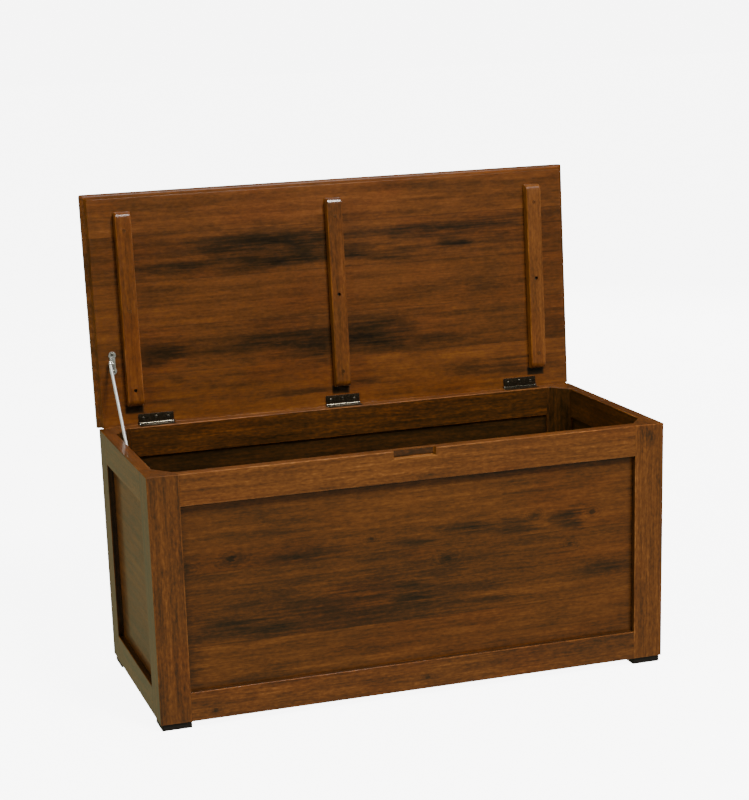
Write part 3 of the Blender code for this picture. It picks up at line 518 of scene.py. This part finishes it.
def dress_carcass():
    """Gives the frame, the panels, the bottom and the feet their looks."""
    frame_inside_shade = inside_shade_box("top_rail", INSIDE_FRAME_SHADE)
    panel_inside_shade = inside_shade_box("panel", INSIDE_PANEL_SHADE)
    for seed, (corner, tone) in enumerate(POST_TONES.items()):
        node = f"post_{corner}"
        looks = {"tone": tone, "seed": seed * 1.9, "knots": POST_KNOTS.get(corner, ())}
        looks["hollows"] = [frame_inside_shade, *(RECESS_SHADES[side] for side in corner.split("_"))]
        dress(node, wood(node, "z", "x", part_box(node), **looks, **FRAME_TIMBER))
    for seed, (node, tone) in enumerate(RAIL_TONES.items()):
        looks = {"tone": tone, "seed": 8.0 + seed * 2.7, "knots": RAIL_KNOTS.get(node, ())}
        looks["hollows"] = [frame_inside_shade, RECESS_SHADES[node.split("_")[-1]]]
        if node == "top_rail_front":
            looks["hollows"] += [NOTCH_SHADE, NOTCH_ARRIS_HIGHLIGHT]
        dress(node, wood(node, "x", "z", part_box(node), **looks, **FRAME_TIMBER))
    for seed, node in enumerate(SIDE_RAILS):
        hollows = [frame_inside_shade, RECESS_SHADES[node.split("_")[-1]]]
        looks = {"tone": 0.60, "seed": 21.0 + seed * 2.3, "hollows": hollows}
        dress(node, wood(node, "y", "z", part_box(node), **looks, **FRAME_TIMBER))

    looks = {"tone": 0.625, "seed": 31.0, "joints": [(0.149, -0.06), (0.2855, 0.03)], "fine": 1.2}
    looks.update({"patches": FRONT_PATCHES, "knots": FRONT_KNOTS})
    looks.update({"border": FRONT_SIGHT, "hollows": [panel_inside_shade]})
    dress("panel_front", wood("panel_front", "x", "z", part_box("panel_front"), **looks))
    joints = [(0.165, 0.05), (0.290, -0.04)]
    looks = {"tone": 0.58, "joints": joints, "hollows": [panel_inside_shade], "fine": 1.2}
    rear = wood("panel_rear", "x", "z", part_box("panel_rear"), seed=37.0, border=FRONT_SIGHT, **looks)
    dress("panel_rear", rear)
    looks["border"] = SIDE_SIGHT
    for seed, node in enumerate(("panel_left", "panel_right")):
        dress(node, wood(node, "y", "z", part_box(node), seed=41.0 + seed * 3.1, **looks))
    looks = {"tone": 0.40, "seed": 51.0, "joints": [(-0.14, 0.05), (-0.03, -0.04), (0.08, 0.03)]}
    dress("bottom_board", wood("bottom_board", "x", "y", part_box("bottom_board"), **looks))
    for seed, side in enumerate(("front", "rear", "left", "right")):
        node = f"bottom_cleat_{side}"
        along = "x" if side in ("front", "rear") else "y"
        dress(node, wood(node, along, "z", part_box(node), tone=0.36, seed=57.0 + seed * 1.7))
    for corner in ("front_left", "front_right", "rear_left", "rear_right"):
        dress(f"foot_{corner}", FOOT_LOOK)


def dress_lid():
    """Gives the lid's board and battens their looks."""
    changes = [(0.3635, -0.045), (0.273, 0.03), (0.1825, -0.04), (0.092, 0.075)]
    joints = [(PLANK_DATUM - reach, change) for reach, change in changes]
    patches = [from_rear(patch) for patch in LID_PATCHES]
    hollows = []
    # A painted shadow on the board below each batten's end
    for side in SIDES:
        low, high = lid_box(f"lid_batten_{side}")
        low = (low[0] - 0.004, high[1] - 0.002, -0.01)
        high = (high[0] - 0.001, high[1] + 0.014, 0.01)
        hollows.append((low, high, BATTEN_END_SHADOW, BATTEN_END_SHADOW_EDGE))
    looks = {"lid": True, "tone": 0.57, "seed": 3.0, "warmth": 0.25}
    looks.update({"joints": joints, "patches": patches, "hollows": hollows})
    dress("lid_board", wood("lid_board", "x", "y", lid_box("lid_board"), **looks))
    for seed, (side, tone) in enumerate(zip(SIDES, (0.66, 0.57, 0.68))):
        node = f"lid_batten_{side}"
        looks = {"lid": True, "tone": tone, "seed": 61.0 + seed * 4.3, "fine": 1.3, "coat": 0.9}
        looks["warmth"] = 0.5 if side == "left" else 0.1
        dress(node, wood(node, "y", "x", lid_box(node), **looks))


# ---- metal pieces -------------------------------------------------------------------------------

LEAF_HALF_WIDTH = 0.03575
LEAF_LENGTH = 0.0188
LEAF_FACE = 0.0003
LEAF_BACK = 0.0013
LEAF_CORNER = 0.0018
LEAF_FINGER = -0.0021
BARREL_LENGTH = 0.0622
KNUCKLES = 5
KNUCKLE_RADIUS = 0.003
KNUCKLE_GAP = 0.0004
KNUCKLE_BORE = 0.0018
PIN_RADIUS = 0.0016
BALL_RADIUS = 0.0028
BALL_REACH = 0.0020
LEAF_SCREWS = [(-0.025, -0.0097), (0.0, -0.0112), (0.025, -0.0097)]
LEAF_SCREW_HEAD = 0.0029
BATTEN_SCREW_HEAD = 0.0033
STAY_SCREW_HEAD = 0.0030
BASE_SCREW_HEAD = 0.0023
STAY_PLATE = 0.0015
STAY_WAIST = math.radians(42.0)
EAR_RADIUS = 0.005
EAR_THICKNESS = 0.0015
EAR_OFFSET = 0.0031
SHARP_ANGLE = math.radians(38.0)
# The height within which the two ends of a level edge agree
FLAT = 1e-7


def turned(profile, sides, matrix, hollow=False):
    """A profile of (radius, height) points turned about Z.  A hollow profile closes on itself."""
    data = bmesh.new()
    rings = []
    for radius, height in profile:
        if radius == 0.0:
            rings.append([data.verts.new((0.0, 0.0, height))])
            continue
        angles = [2 * math.pi * i / sides for i in range(sides)]
        around = [(radius * math.cos(angle), radius * math.sin(angle), height) for angle in angles]
        rings.append([data.verts.new(point) for point in around])
    pairs = list(zip(rings, rings[1:]))
    if hollow:
        pairs.append((rings[-1], rings[0]))
    for lower, upper in pairs:
        for i in range(sides):
            j = (i + 1) % sides
            corners = [lower[i % len(lower)], lower[j % len(lower)]]
            corners += [upper[j % len(upper)], upper[i % len(upper)]]
            data.faces.new(list(dict.fromkeys(corners)))
    if not hollow:
        for ring in (rings[0], rings[-1]):
            if len(ring) > 1:
                data.faces.new(ring)
    bmesh.ops.transform(data, matrix=matrix, verts=data.verts)
    return data


def slab(outline, low, high, bevel=0.0):
    """A flat outline in X and Y carried from low to high, with softened rims."""
    data = bmesh.new()
    rings = [[data.verts.new((x, y, level)) for x, y in outline] for level in (low, high)]
    count = len(outline)
    for i in range(count):
        j = (i + 1) % count
        data.faces.new((rings[0][i], rings[0][j], rings[1][j], rings[1][i]))
    for ring in rings:
        data.faces.new(ring)
    bmesh.ops.recalc_face_normals(data, faces=data.faces)
    if bevel:
        rims = [rim for rim in data.edges if abs(rim.verts[0].co.z - rim.verts[1].co.z) < FLAT]
        bmesh.ops.bevel(data, geom=rims, offset=bevel, segments=2, profile=0.5, affect="EDGES")
    return data


def merged(parts):
    """One mesh from several, which are used up."""
    whole = bmesh.new()
    for part in parts:
        mesh = bpy.data.meshes.new("part")
        part.to_mesh(mesh)
        part.free()
        whole.from_mesh(mesh)
        bpy.data.meshes.remove(mesh)
    return whole


def carved(solid, cutters):
    """Cuts several separate solids out of one and returns the result."""
    items = []
    for data in (solid, merged(cutters)):
        bmesh.ops.recalc_face_normals(data, faces=data.faces)
        mesh = bpy.data.meshes.new("carving")
        data.to_mesh(mesh)
        data.free()
        items.append(bpy.data.objects.new("carving", mesh))
        bpy.context.scene.collection.objects.link(items[-1])
    modifier = items[0].modifiers.new("cut", "BOOLEAN")
    modifier.object = items[1]
    bpy.context.view_layer.update()
    evaluated = items[0].evaluated_get(bpy.context.evaluated_depsgraph_get())
    result = bpy.data.meshes.new_from_object(evaluated)
    whole = bmesh.new()
    whole.from_mesh(result)
    for item in items:
        mesh = item.data
        bpy.data.objects.remove(item)
        bpy.data.meshes.remove(mesh)
    bpy.data.meshes.remove(result)
    return whole


def pointing(place, direction):
    """The matrix that carries Z at the origin to a direction at a place."""
    turn = Vector(direction).to_track_quat("Z", "Y").to_matrix().to_4x4()
    return Matrix.Translation(place) @ turn


def add_piece(name, data, matrix, body, material, stands_for=()):
    """Makes a piece from a bmesh, with its place baked in, and lets it ride on a body."""
    bmesh.ops.transform(data, matrix=matrix, verts=data.verts)
    bmesh.ops.recalc_face_normals(data, faces=data.faces)
    mesh = bpy.data.meshes.new(name)
    data.to_mesh(mesh)
    data.free()
    mesh.materials.append(material)
    mesh.shade_smooth()
    mesh.set_sharp_from_angle(angle=SHARP_ANGLE)
    piece = bpy.data.objects.new(name, mesh)
    bpy.context.scene.collection.objects.link(piece)
    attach(piece, body)
    if stands_for:
        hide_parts(*stands_for)
    return piece


def screw_model():
    """A countersunk screw with a cross recess.  Its head has radius 1 and faces away from +Z."""
    profile = [(0.0, -0.13), (0.35, -0.12), (0.66, -0.08), (0.88, -0.02), (1.0, 0.06), (0.97, 0.13)]
    profile += [(0.46, 0.66), (0.46, 2.2), (0.30, 3.0), (0.0, 3.3)]
    solid = turned(profile, 32, Matrix.Identity(4))
    blades = []
    for turn in (0.0, math.pi / 2):
        outline = [(-0.56, -0.11), (0.56, -0.11), (0.56, 0.11), (-0.56, 0.11)]
        blade = slab(outline, -0.4, 0.42)
        for vertex in blade.verts:
            if vertex.co.z > 0:
                vertex.co.x *= 0.42
                vertex.co.y *= 0.6
        bmesh.ops.transform(blade, matrix=Matrix.Rotation(turn, 4, "Z"), verts=blade.verts)
        blades.append(blade)
    for blade in blades:
        solid = carved(solid, [blade])
    mesh = bpy.data.meshes.new("screw_model")
    solid.to_mesh(mesh)
    solid.free()
    return mesh


def placed_screws(model, places, direction, head):
    """Copies of the screw at several places, each with its recess turned differently."""
    parts = []
    for index, place in enumerate(places):
        turn = Matrix.Rotation(0.5 + 1.9 * index + 31.0 * place[0], 4, "Z")
        data = bmesh.new()
        data.from_mesh(model)
        matrix = pointing(place, direction) @ turn @ Matrix.Scale(head, 4)
        bmesh.ops.transform(data, matrix=matrix, verts=data.verts)
        parts.append(data)
    return merged(parts)


def leaf_outline(up):
    """A leaf from above: rounded far corners, and fingers that reach the barrel.

    up is -1 for the body's leaf, which lies below the hinge line, and 1 for the lid's, which lies
    above it when the lid is shut.
    """
    pitch = BARREL_LENGTH / KNUCKLES
    start = -BARREL_LENGTH / 2
    clear = -KNUCKLE_RADIUS - KNUCKLE_GAP
    inset = KNUCKLE_GAP / 2
    outline = []
    for side, first in ((-1, math.pi), (1, 1.5 * math.pi)):
        for step in range(5):
            angle = first + math.pi / 2 * step / 4
            x = side * (LEAF_HALF_WIDTH - LEAF_CORNER) + LEAF_CORNER * math.cos(angle)
            outline.append((x, LEAF_CORNER - LEAF_LENGTH + LEAF_CORNER * math.sin(angle)))
    outline += [(LEAF_HALF_WIDTH, clear), (-start + inset, clear)]
    for k in reversed(range(KNUCKLES)):
        depth = LEAF_FINGER if k % 2 == (0 if up < 0 else 1) else clear
        outline += [(start + (k + 1) * pitch - inset, depth), (start + k * pitch + inset, depth)]
    outline += [(start - inset, clear), (-LEAF_HALF_WIDTH, clear)]
    return outline


def build_leaf(up):
    """A leaf with dished screw holes, about its own middle on the hinge line."""
    plate = slab(leaf_outline(up), *sorted((up * LEAF_FACE, up * LEAF_BACK)), bevel=0.00018)
    dishes = []
    for x, y in LEAF_SCREWS:
        dish = [(LEAF_SCREW_HEAD + 0.0006, -0.002), (LEAF_SCREW_HEAD + 0.0003, 0.0)]
        dish += [(0.0016, 0.0016), (0.0, 0.0016)]
        dishes.append(turned(dish, 28, pointing((x, y, up * LEAF_FACE), (0, 0, up))))
    return carved(plate, dishes)


def build_knuckles(up):
    """The leaf's rolled knuckles, every second one of the barrel."""
    parts = []
    pitch = BARREL_LENGTH / KNUCKLES
    soft = 0.0003
    for k in range(0 if up < 0 else 1, KNUCKLES, 2):
        start = -BARREL_LENGTH / 2 + k * pitch + KNUCKLE_GAP / 2
        length = pitch - KNUCKLE_GAP
        wall = [(KNUCKLE_BORE, 0.0), (KNUCKLE_RADIUS - soft, 0.0), (KNUCKLE_RADIUS, soft)]
        wall += [(KNUCKLE_RADIUS, length - soft), (KNUCKLE_RADIUS - soft, length)]
        wall.append((KNUCKLE_BORE, length))
        parts.append(turned(wall, 36, pointing((start, 0, 0), (1, 0, 0)), hollow=True))
    return merged(parts)


def build_pin():
    """A pin whose ball ends keep it in the barrel."""
    middle = BARREL_LENGTH / 2 + KNUCKLE_GAP + BALL_REACH
    right = [(0.0, middle + BALL_RADIUS)]
    for step in range(12):
        angle = math.radians(12.0 + 131.0 * step / 11)
        right.append((BALL_RADIUS * math.sin(angle), middle + BALL_RADIUS * math.cos(angle)))
    right.append((PIN_RADIUS, BARREL_LENGTH / 2 + 0.0002))
    left = [(radius, -height) for radius, height in reversed(right)]
    return turned(right + left, 28, pointing((0, 0, 0), (1, 0, 0)))


def add_hinges(screws):
    """Each hinge's two leaves with their knuckles and screws, and its pin."""
    halves = (("body", -1, BODY_TO_ROW, "carcass"), ("lid", 1, LID_TO_ROW, "lid"))
    for side in SIDES:
        low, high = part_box(f"hinge_pin_{side}")
        centre = (low[0] + high[0]) / 2
        shift = Matrix.Translation((centre, 0.0, 0.0))
        for name, up, base, body in halves:
            node = f"hinge_{name}_leaf_{side}"
            matrix = base @ shift
            leaf = build_leaf(up)
            add_piece(f"{node}_detail", leaf, matrix, body, BRONZE_LOOK, [node])
            knuckles = f"hinge_{name}_knuckles_{side}"
            add_piece(knuckles, build_knuckles(up), matrix, body, BARREL_LOOK)
            places = [(x, y, up * (LEAF_FACE + 0.0002)) for x, y in LEAF_SCREWS]
            heads = placed_screws(screws, places, (0, 0, up), LEAF_SCREW_HEAD)
            add_piece(f"hinge_{name}_screws_{side}", heads, matrix, body, SCREW_LOOK)
        node = f"hinge_pin_{side}"
        matrix = BODY_TO_ROW @ shift
        add_piece(f"{node}_detail", build_pin(), matrix, "carcass", PIN_LOOK, [node])


# A plug's slightly domed face and its soft rim
PLUG_PROFILE = [(0.0, -0.00015), (0.0022, -0.0001), (0.0033, 0.00005), (0.00352, 0.0003)]
PLUG_PROFILE.append((0.00352, 0.0026))
OPEN_HOLES = {"left": "rear", "middle": "middle", "right": "middle"}


def add_batten_screws(screws):
    """The sunk screws, and the wooden plugs that fill most of the holes."""
    for side in SIDES:
        low, high = lid_box(f"lid_batten_{side}")
        places = []
        plugs = []
        nodes = []
        for spot in ("rear", "middle", "front"):
            node = f"batten_screw_{side}_{spot}"
            nodes.append(node)
            first, last = lid_box(node)
            x, y = (first[0] + last[0]) / 2, (first[1] + last[1]) / 2
            places.append((x, y, first[2]))
            if spot != OPEN_HOLES[side]:
                plugs.append(turned(PLUG_PROFILE, 28, Matrix.Translation((x, y, low[2]))))
        heads = placed_screws(screws, places, (0, 0, 1), BATTEN_SCREW_HEAD)
        name = f"batten_screws_{side}_detail"
        add_piece(name, heads, LID_TO_ROW, "lid", SCREW_LOOK, nodes)
        name = f"batten_plugs_{side}"
        add_piece(name, merged(plugs), LID_TO_ROW, "lid", PLUG_LOOK)


def waisted(half_length, radius, waist, steps=16):
    """A plate outline with two round lobes and a narrower middle, long in Y."""
    outline = []
    for end, start in ((half_length - radius, -waist), (radius - half_length, math.pi - waist)):
        for step in range(steps + 1):
            angle = start + (math.pi + 2 * waist) * step / steps
            outline.append((radius * math.cos(angle), end + radius * math.sin(angle)))
    return outline


def add_stay(screws):
    """The stay's plate with its dished lobes and upright ear, its screws, and the domed rivet."""
    low, high = lid_box("stay_lid_bracket")
    middle = ((low[0] + high[0]) / 2, (low[1] + high[1]) / 2)
    top = high[2]
    face = top - STAY_PLATE
    places = []
    for spot in ("front", "rear"):
        first, last = lid_box(f"stay_lid_screw_{spot}")
        places.append(((first[0] + last[0]) / 2, (first[1] + last[1]) / 2))
    radius = (high[0] - low[0]) / 2
    plate = slab(waisted((high[1] - low[1]) / 2, radius, STAY_WAIST), face, top, bevel=0.0004)
    bmesh.ops.transform(plate, matrix=Matrix.Translation((*middle, 0.0)), verts=plate.verts)
    dishes = []
    for x, y in places:
        dish = [(0.0058, -0.002), (0.0052, 0.0), (STAY_SCREW_HEAD + 0.0003, 0.0008), (0.0, 0.0008)]
        dishes.append(turned(dish, 32, Matrix.Translation((x, y, face))))
    pivot = ROW_TO_LID @ joint_place("stay_rod_pivot")
    ear = [(EAR_RADIUS, face + 0.0004), (-EAR_RADIUS, face + 0.0004)]
    for step in range(17):
        angle = math.pi + math.pi * step / 16
        ear.append((EAR_RADIUS * math.cos(angle), pivot.z + EAR_RADIUS * math.sin(angle)))
    upright = slab(ear, 0.0, EAR_THICKNESS, bevel=0.0003)
    ear_x = pivot.x + EAR_OFFSET
    turn = Matrix(((0, 0, 1, ear_x), (1, 0, 0, pivot.y), (0, 1, 0, 0), (0, 0, 0, 1)))
    bmesh.ops.transform(upright, matrix=turn, verts=upright.verts)
    whole = merged([carved(plate, dishes), upright])
    nodes = ["stay_lid_bracket"]
    add_piece("stay_plate_detail", whole, LID_TO_ROW, "lid", NICKEL_LOOK, nodes)
    seats = [(x, y, face + 0.0007) for x, y in places]
    heads = placed_screws(screws, seats, (0, 0, 1), STAY_SCREW_HEAD)
    nodes = ["stay_lid_screw_front", "stay_lid_screw_rear"]
    add_piece("stay_lid_screws_detail", heads, LID_TO_ROW, "lid", STAY_SCREW_LOOK, nodes)

    first, last = lid_box("stay_rivet")
    length = last[0] - first[0]
    profile = [(0.0, 0.0), (0.0012, 0.0001), (0.0022, 0.0005), (0.0028, 0.0011), (0.0030, 0.0017)]
    profile += [(0.0015, 0.0017), (0.0015, length - 0.0012), (0.0024, length - 0.0012)]
    profile += [(0.0024, length - 0.0006), (0.0014, length - 0.0001), (0.0, length)]
    rivet = turned(profile, 28, pointing((first[0], pivot.y, pivot.z), (1, 0, 0)))
    add_piece("stay_rivet_detail", rivet, LID_TO_ROW, "lid", NICKEL_LOOK, ["stay_rivet"])

    seats = []
    for spot in ("lower", "upper"):
        first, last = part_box(f"stay_base_screw_{spot}")
        seats.append((last[0], (first[1] + last[1]) / 2, (first[2] + last[2]) / 2))
    heads = placed_screws(screws, seats, (-1, 0, 0), BASE_SCREW_HEAD)
    nodes = ["stay_base_screw_lower", "stay_base_screw_upper"]
    still = Matrix.Identity(4)
    add_piece("stay_base_screws_detail", heads, still, "carcass", NICKEL_LOOK, nodes)


# ---- stage --------------------------------------------------------------------------------------

CAMERA_ANGLES = tuple(math.radians(angle) for angle in (16.39, 15.273, -2.175))
CAMERA_PLACE = (-1.13953, -3.45674, 1.27469)
CAMERA_LENS = 86.235
CAMERA_SHIFT = (0.0755, 0.1522)
FLOOR_HALF_SIZE = 30.0
WARM_LIGHT = (1.0, 0.98, 0.95)
GREEN_LIGHT = (0.92, 1.0, 0.80)
FLOOR_GLOW = 8.0
BACKDROP = (7.04, 7.04, 7.04, 1.0)
AMBIENT = (0.18, 0.172, 0.155, 1.0)
# What the gloss sees of the studio, by direction
REFLECTED_HIGH = (0.02, 0.024, 0.02, 1.0)
REFLECTED_RIGHT = (0.12, 0.135, 0.12, 1.0)
REFLECTED_FRONT = (0.31, 0.33, 0.26, 1.0)
REFLECTED_BACK = (0.205, 0.225, 0.125, 1.0)


def add_camera():
    """The camera stands in front, to the left and above, and leans a little."""
    yaw, pitch, roll = CAMERA_ANGLES
    ahead = math.cos(pitch)
    forward = Vector((math.sin(yaw) * ahead, math.cos(yaw) * ahead, -math.sin(pitch)))
    level = Vector((math.cos(yaw), -math.sin(yaw), 0.0))
    upright = level.cross(forward)
    right = level * math.cos(roll) + upright * math.sin(roll)
    up = upright * math.cos(roll) - level * math.sin(roll)
    data = bpy.data.cameras.new("camera")
    data.sensor_width = 36.0
    data.lens = CAMERA_LENS
    data.shift_x, data.shift_y = CAMERA_SHIFT
    data.clip_end = 60.0
    camera = bpy.data.objects.new("camera", data)
    bpy.context.scene.collection.objects.link(camera)
    turn = Matrix((right, up, -forward)).transposed().to_4x4()
    camera.matrix_world = Matrix.Translation(CAMERA_PLACE) @ turn
    bpy.context.scene.camera = camera


def add_floor():
    """A pale floor that glows to the backdrop's brightness and lends the chest no light."""
    data = bmesh.new()
    bmesh.ops.create_grid(data, x_segments=2, y_segments=2, size=FLOOR_HALF_SIZE)
    mesh = bpy.data.meshes.new("floor")
    data.to_mesh(mesh)
    data.free()
    floor = bpy.data.objects.new("floor", mesh)
    bpy.context.scene.collection.objects.link(floor)
    graph = Graph("floor")
    tint = graph.noise(graph.place(), scale=3.0, detail=2.0)
    colour = graph.ramp(tint, [(0.0, (0.86, 0.86, 0.86)), (1.0, (0.90, 0.90, 0.90))])
    graph.feed(graph.surface.inputs["Base Color"], colour)
    graph.feed(graph.surface.inputs["Emission Color"], colour)
    graph.surface.inputs["Emission Strength"].default_value = FLOOR_GLOW
    graph.surface.inputs["Roughness"].default_value = 0.9
    graph.surface.inputs["Specular IOR Level"].default_value = 0.0
    mesh.materials.append(graph.material)
    floor.visible_glossy = False
    floor.visible_diffuse = False


def add_light(name, place, target_height, size, power, colour=(1.0, 1.0, 1.0), glossy=True):
    """A soft area light, aimed at a height above the middle of the floor."""
    data = bpy.data.lights.new(name, "AREA")
    data.shape = "RECTANGLE"
    data.size, data.size_y = size
    data.energy = power
    data.color = colour
    light = bpy.data.objects.new(name, data)
    bpy.context.scene.collection.objects.link(light)
    direction = Vector((0.0, 0.0, target_height)) - Vector(place)
    light.location = place
    light.visible_glossy = glossy
    light.rotation_euler = direction.to_track_quat("-Z", "Y").to_euler()


def add_studio():
    """Soft light from the front right and above, with fills.

    The world's nodes keep apart what the camera, the gloss and the shade see of the studio.
    """
    world = bpy.data.worlds.new("studio")
    bpy.context.scene.world = world
    world.use_nodes = True
    tree = world.node_tree
    background = tree.nodes["Background"]
    rays = tree.nodes.new("ShaderNodeLightPath")
    axes = tree.nodes.new("ShaderNodeSeparateXYZ")
    tree.links.new(tree.nodes.new("ShaderNodeTexCoord").outputs["Generated"], axes.inputs[0])

    def step(value, start, end):
        node = tree.nodes.new("ShaderNodeMapRange")
        node.interpolation_type = "SMOOTHSTEP"
        tree.links.new(value, node.inputs["Value"])
        node.inputs["From Min"].default_value = start
        node.inputs["From Max"].default_value = end
        return node.outputs["Result"]

    def mix(factor, first, second):
        node = tree.nodes.new("ShaderNodeMix")
        node.data_type = "RGBA"
        tree.links.new(factor, node.inputs[0])
        for socket, colour in ((node.inputs[6], first), (node.inputs[7], second)):
            if isinstance(colour, tuple):
                socket.default_value = colour
            else:
                tree.links.new(colour, socket)
        return node.outputs[2]

    low = mix(step(axes.outputs["Y"], -0.4, 0.4), REFLECTED_FRONT, REFLECTED_BACK)
    high = mix(step(axes.outputs["X"], 0.22, 0.42), REFLECTED_HIGH, REFLECTED_RIGHT)
    high = mix(step(axes.outputs["Y"], -0.5, 0.0), high, REFLECTED_HIGH)
    reflected = mix(step(axes.outputs["Z"], -0.22, -0.05), low, high)
    colour = mix(rays.outputs["Is Glossy Ray"], AMBIENT, reflected)
    colour = mix(rays.outputs["Is Camera Ray"], colour, BACKDROP)
    tree.links.new(colour, background.inputs["Color"])
    background.inputs["Strength"].default_value = 1.0
    add_light("key", (1.05, -2.90, 4.40), 0.45, (1.1, 1.1), 250.0, WARM_LIGHT)
    add_light("front", (1.3, -4.6, 2.0), 0.5, (1.8, 1.3), 70.0, WARM_LIGHT, glossy=False)
    add_light("overhead", (0.3, -0.8, 3.3), 0.5, (2.0, 1.4), 18.0)
    add_light("left", (-4.0, -0.8, 1.6), 0.4, (2.2, 2.2), 110.0, GREEN_LIGHT, glossy=False)
    add_light("rear", (2.4, 3.6, 2.0), 0.45, (2.2, 2.2), 75.0, glossy=False)


FOOT_LOOK = pad("dark_foot")
BRONZE_LOOK = metal("dark_bronze", (0.042, 0.032, 0.019), (0.14, 0.10, 0.06), 0.30, metallic=0.75)
BARREL_LOOK = metal("barrel_steel", (0.15, 0.13, 0.095), (0.30, 0.27, 0.21), 0.19)
SCREW_LOOK = metal("screw_steel", (0.15, 0.13, 0.10), (0.30, 0.28, 0.23), 0.32)
PIN_LOOK = metal("worn_steel", (0.56, 0.54, 0.48), (0.72, 0.70, 0.64), 0.22)
NICKEL_LOOK = metal("nickel", (0.82, 0.81, 0.75), (0.92, 0.91, 0.86), 0.24, metallic=0.85)
ROD_LOOK = metal("bright_nickel", (0.95, 0.95, 0.93), (0.97, 0.97, 0.96), 0.19, metallic=0.55)
STAY_SCREW_LOOK = metal("dull_nickel", (0.28, 0.27, 0.23), (0.45, 0.43, 0.38), 0.28)
PLUG_LOOK = wood("batten_plug", "x", "y", lid_box("lid_board"), lid=True, tone=0.47, seed=77.0)

dress_carcass()
dress_lid()
for cad_node in frame["nodes"]:
    if cad_node.startswith(("hinge_body", "hinge_lid", "batten_screw")):
        dress(cad_node, BRONZE_LOOK)
    elif cad_node.startswith("hinge_pin"):
        dress(cad_node, PIN_LOOK)
    elif cad_node.startswith("stay"):
        dress(cad_node, ROD_LOOK if cad_node.startswith("stay_rod") else NICKEL_LOOK)
SCREW_MODEL = screw_model()
add_hinges(SCREW_MODEL)
add_batten_screws(SCREW_MODEL)
add_stay(SCREW_MODEL)
add_floor()
add_studio()
add_camera()
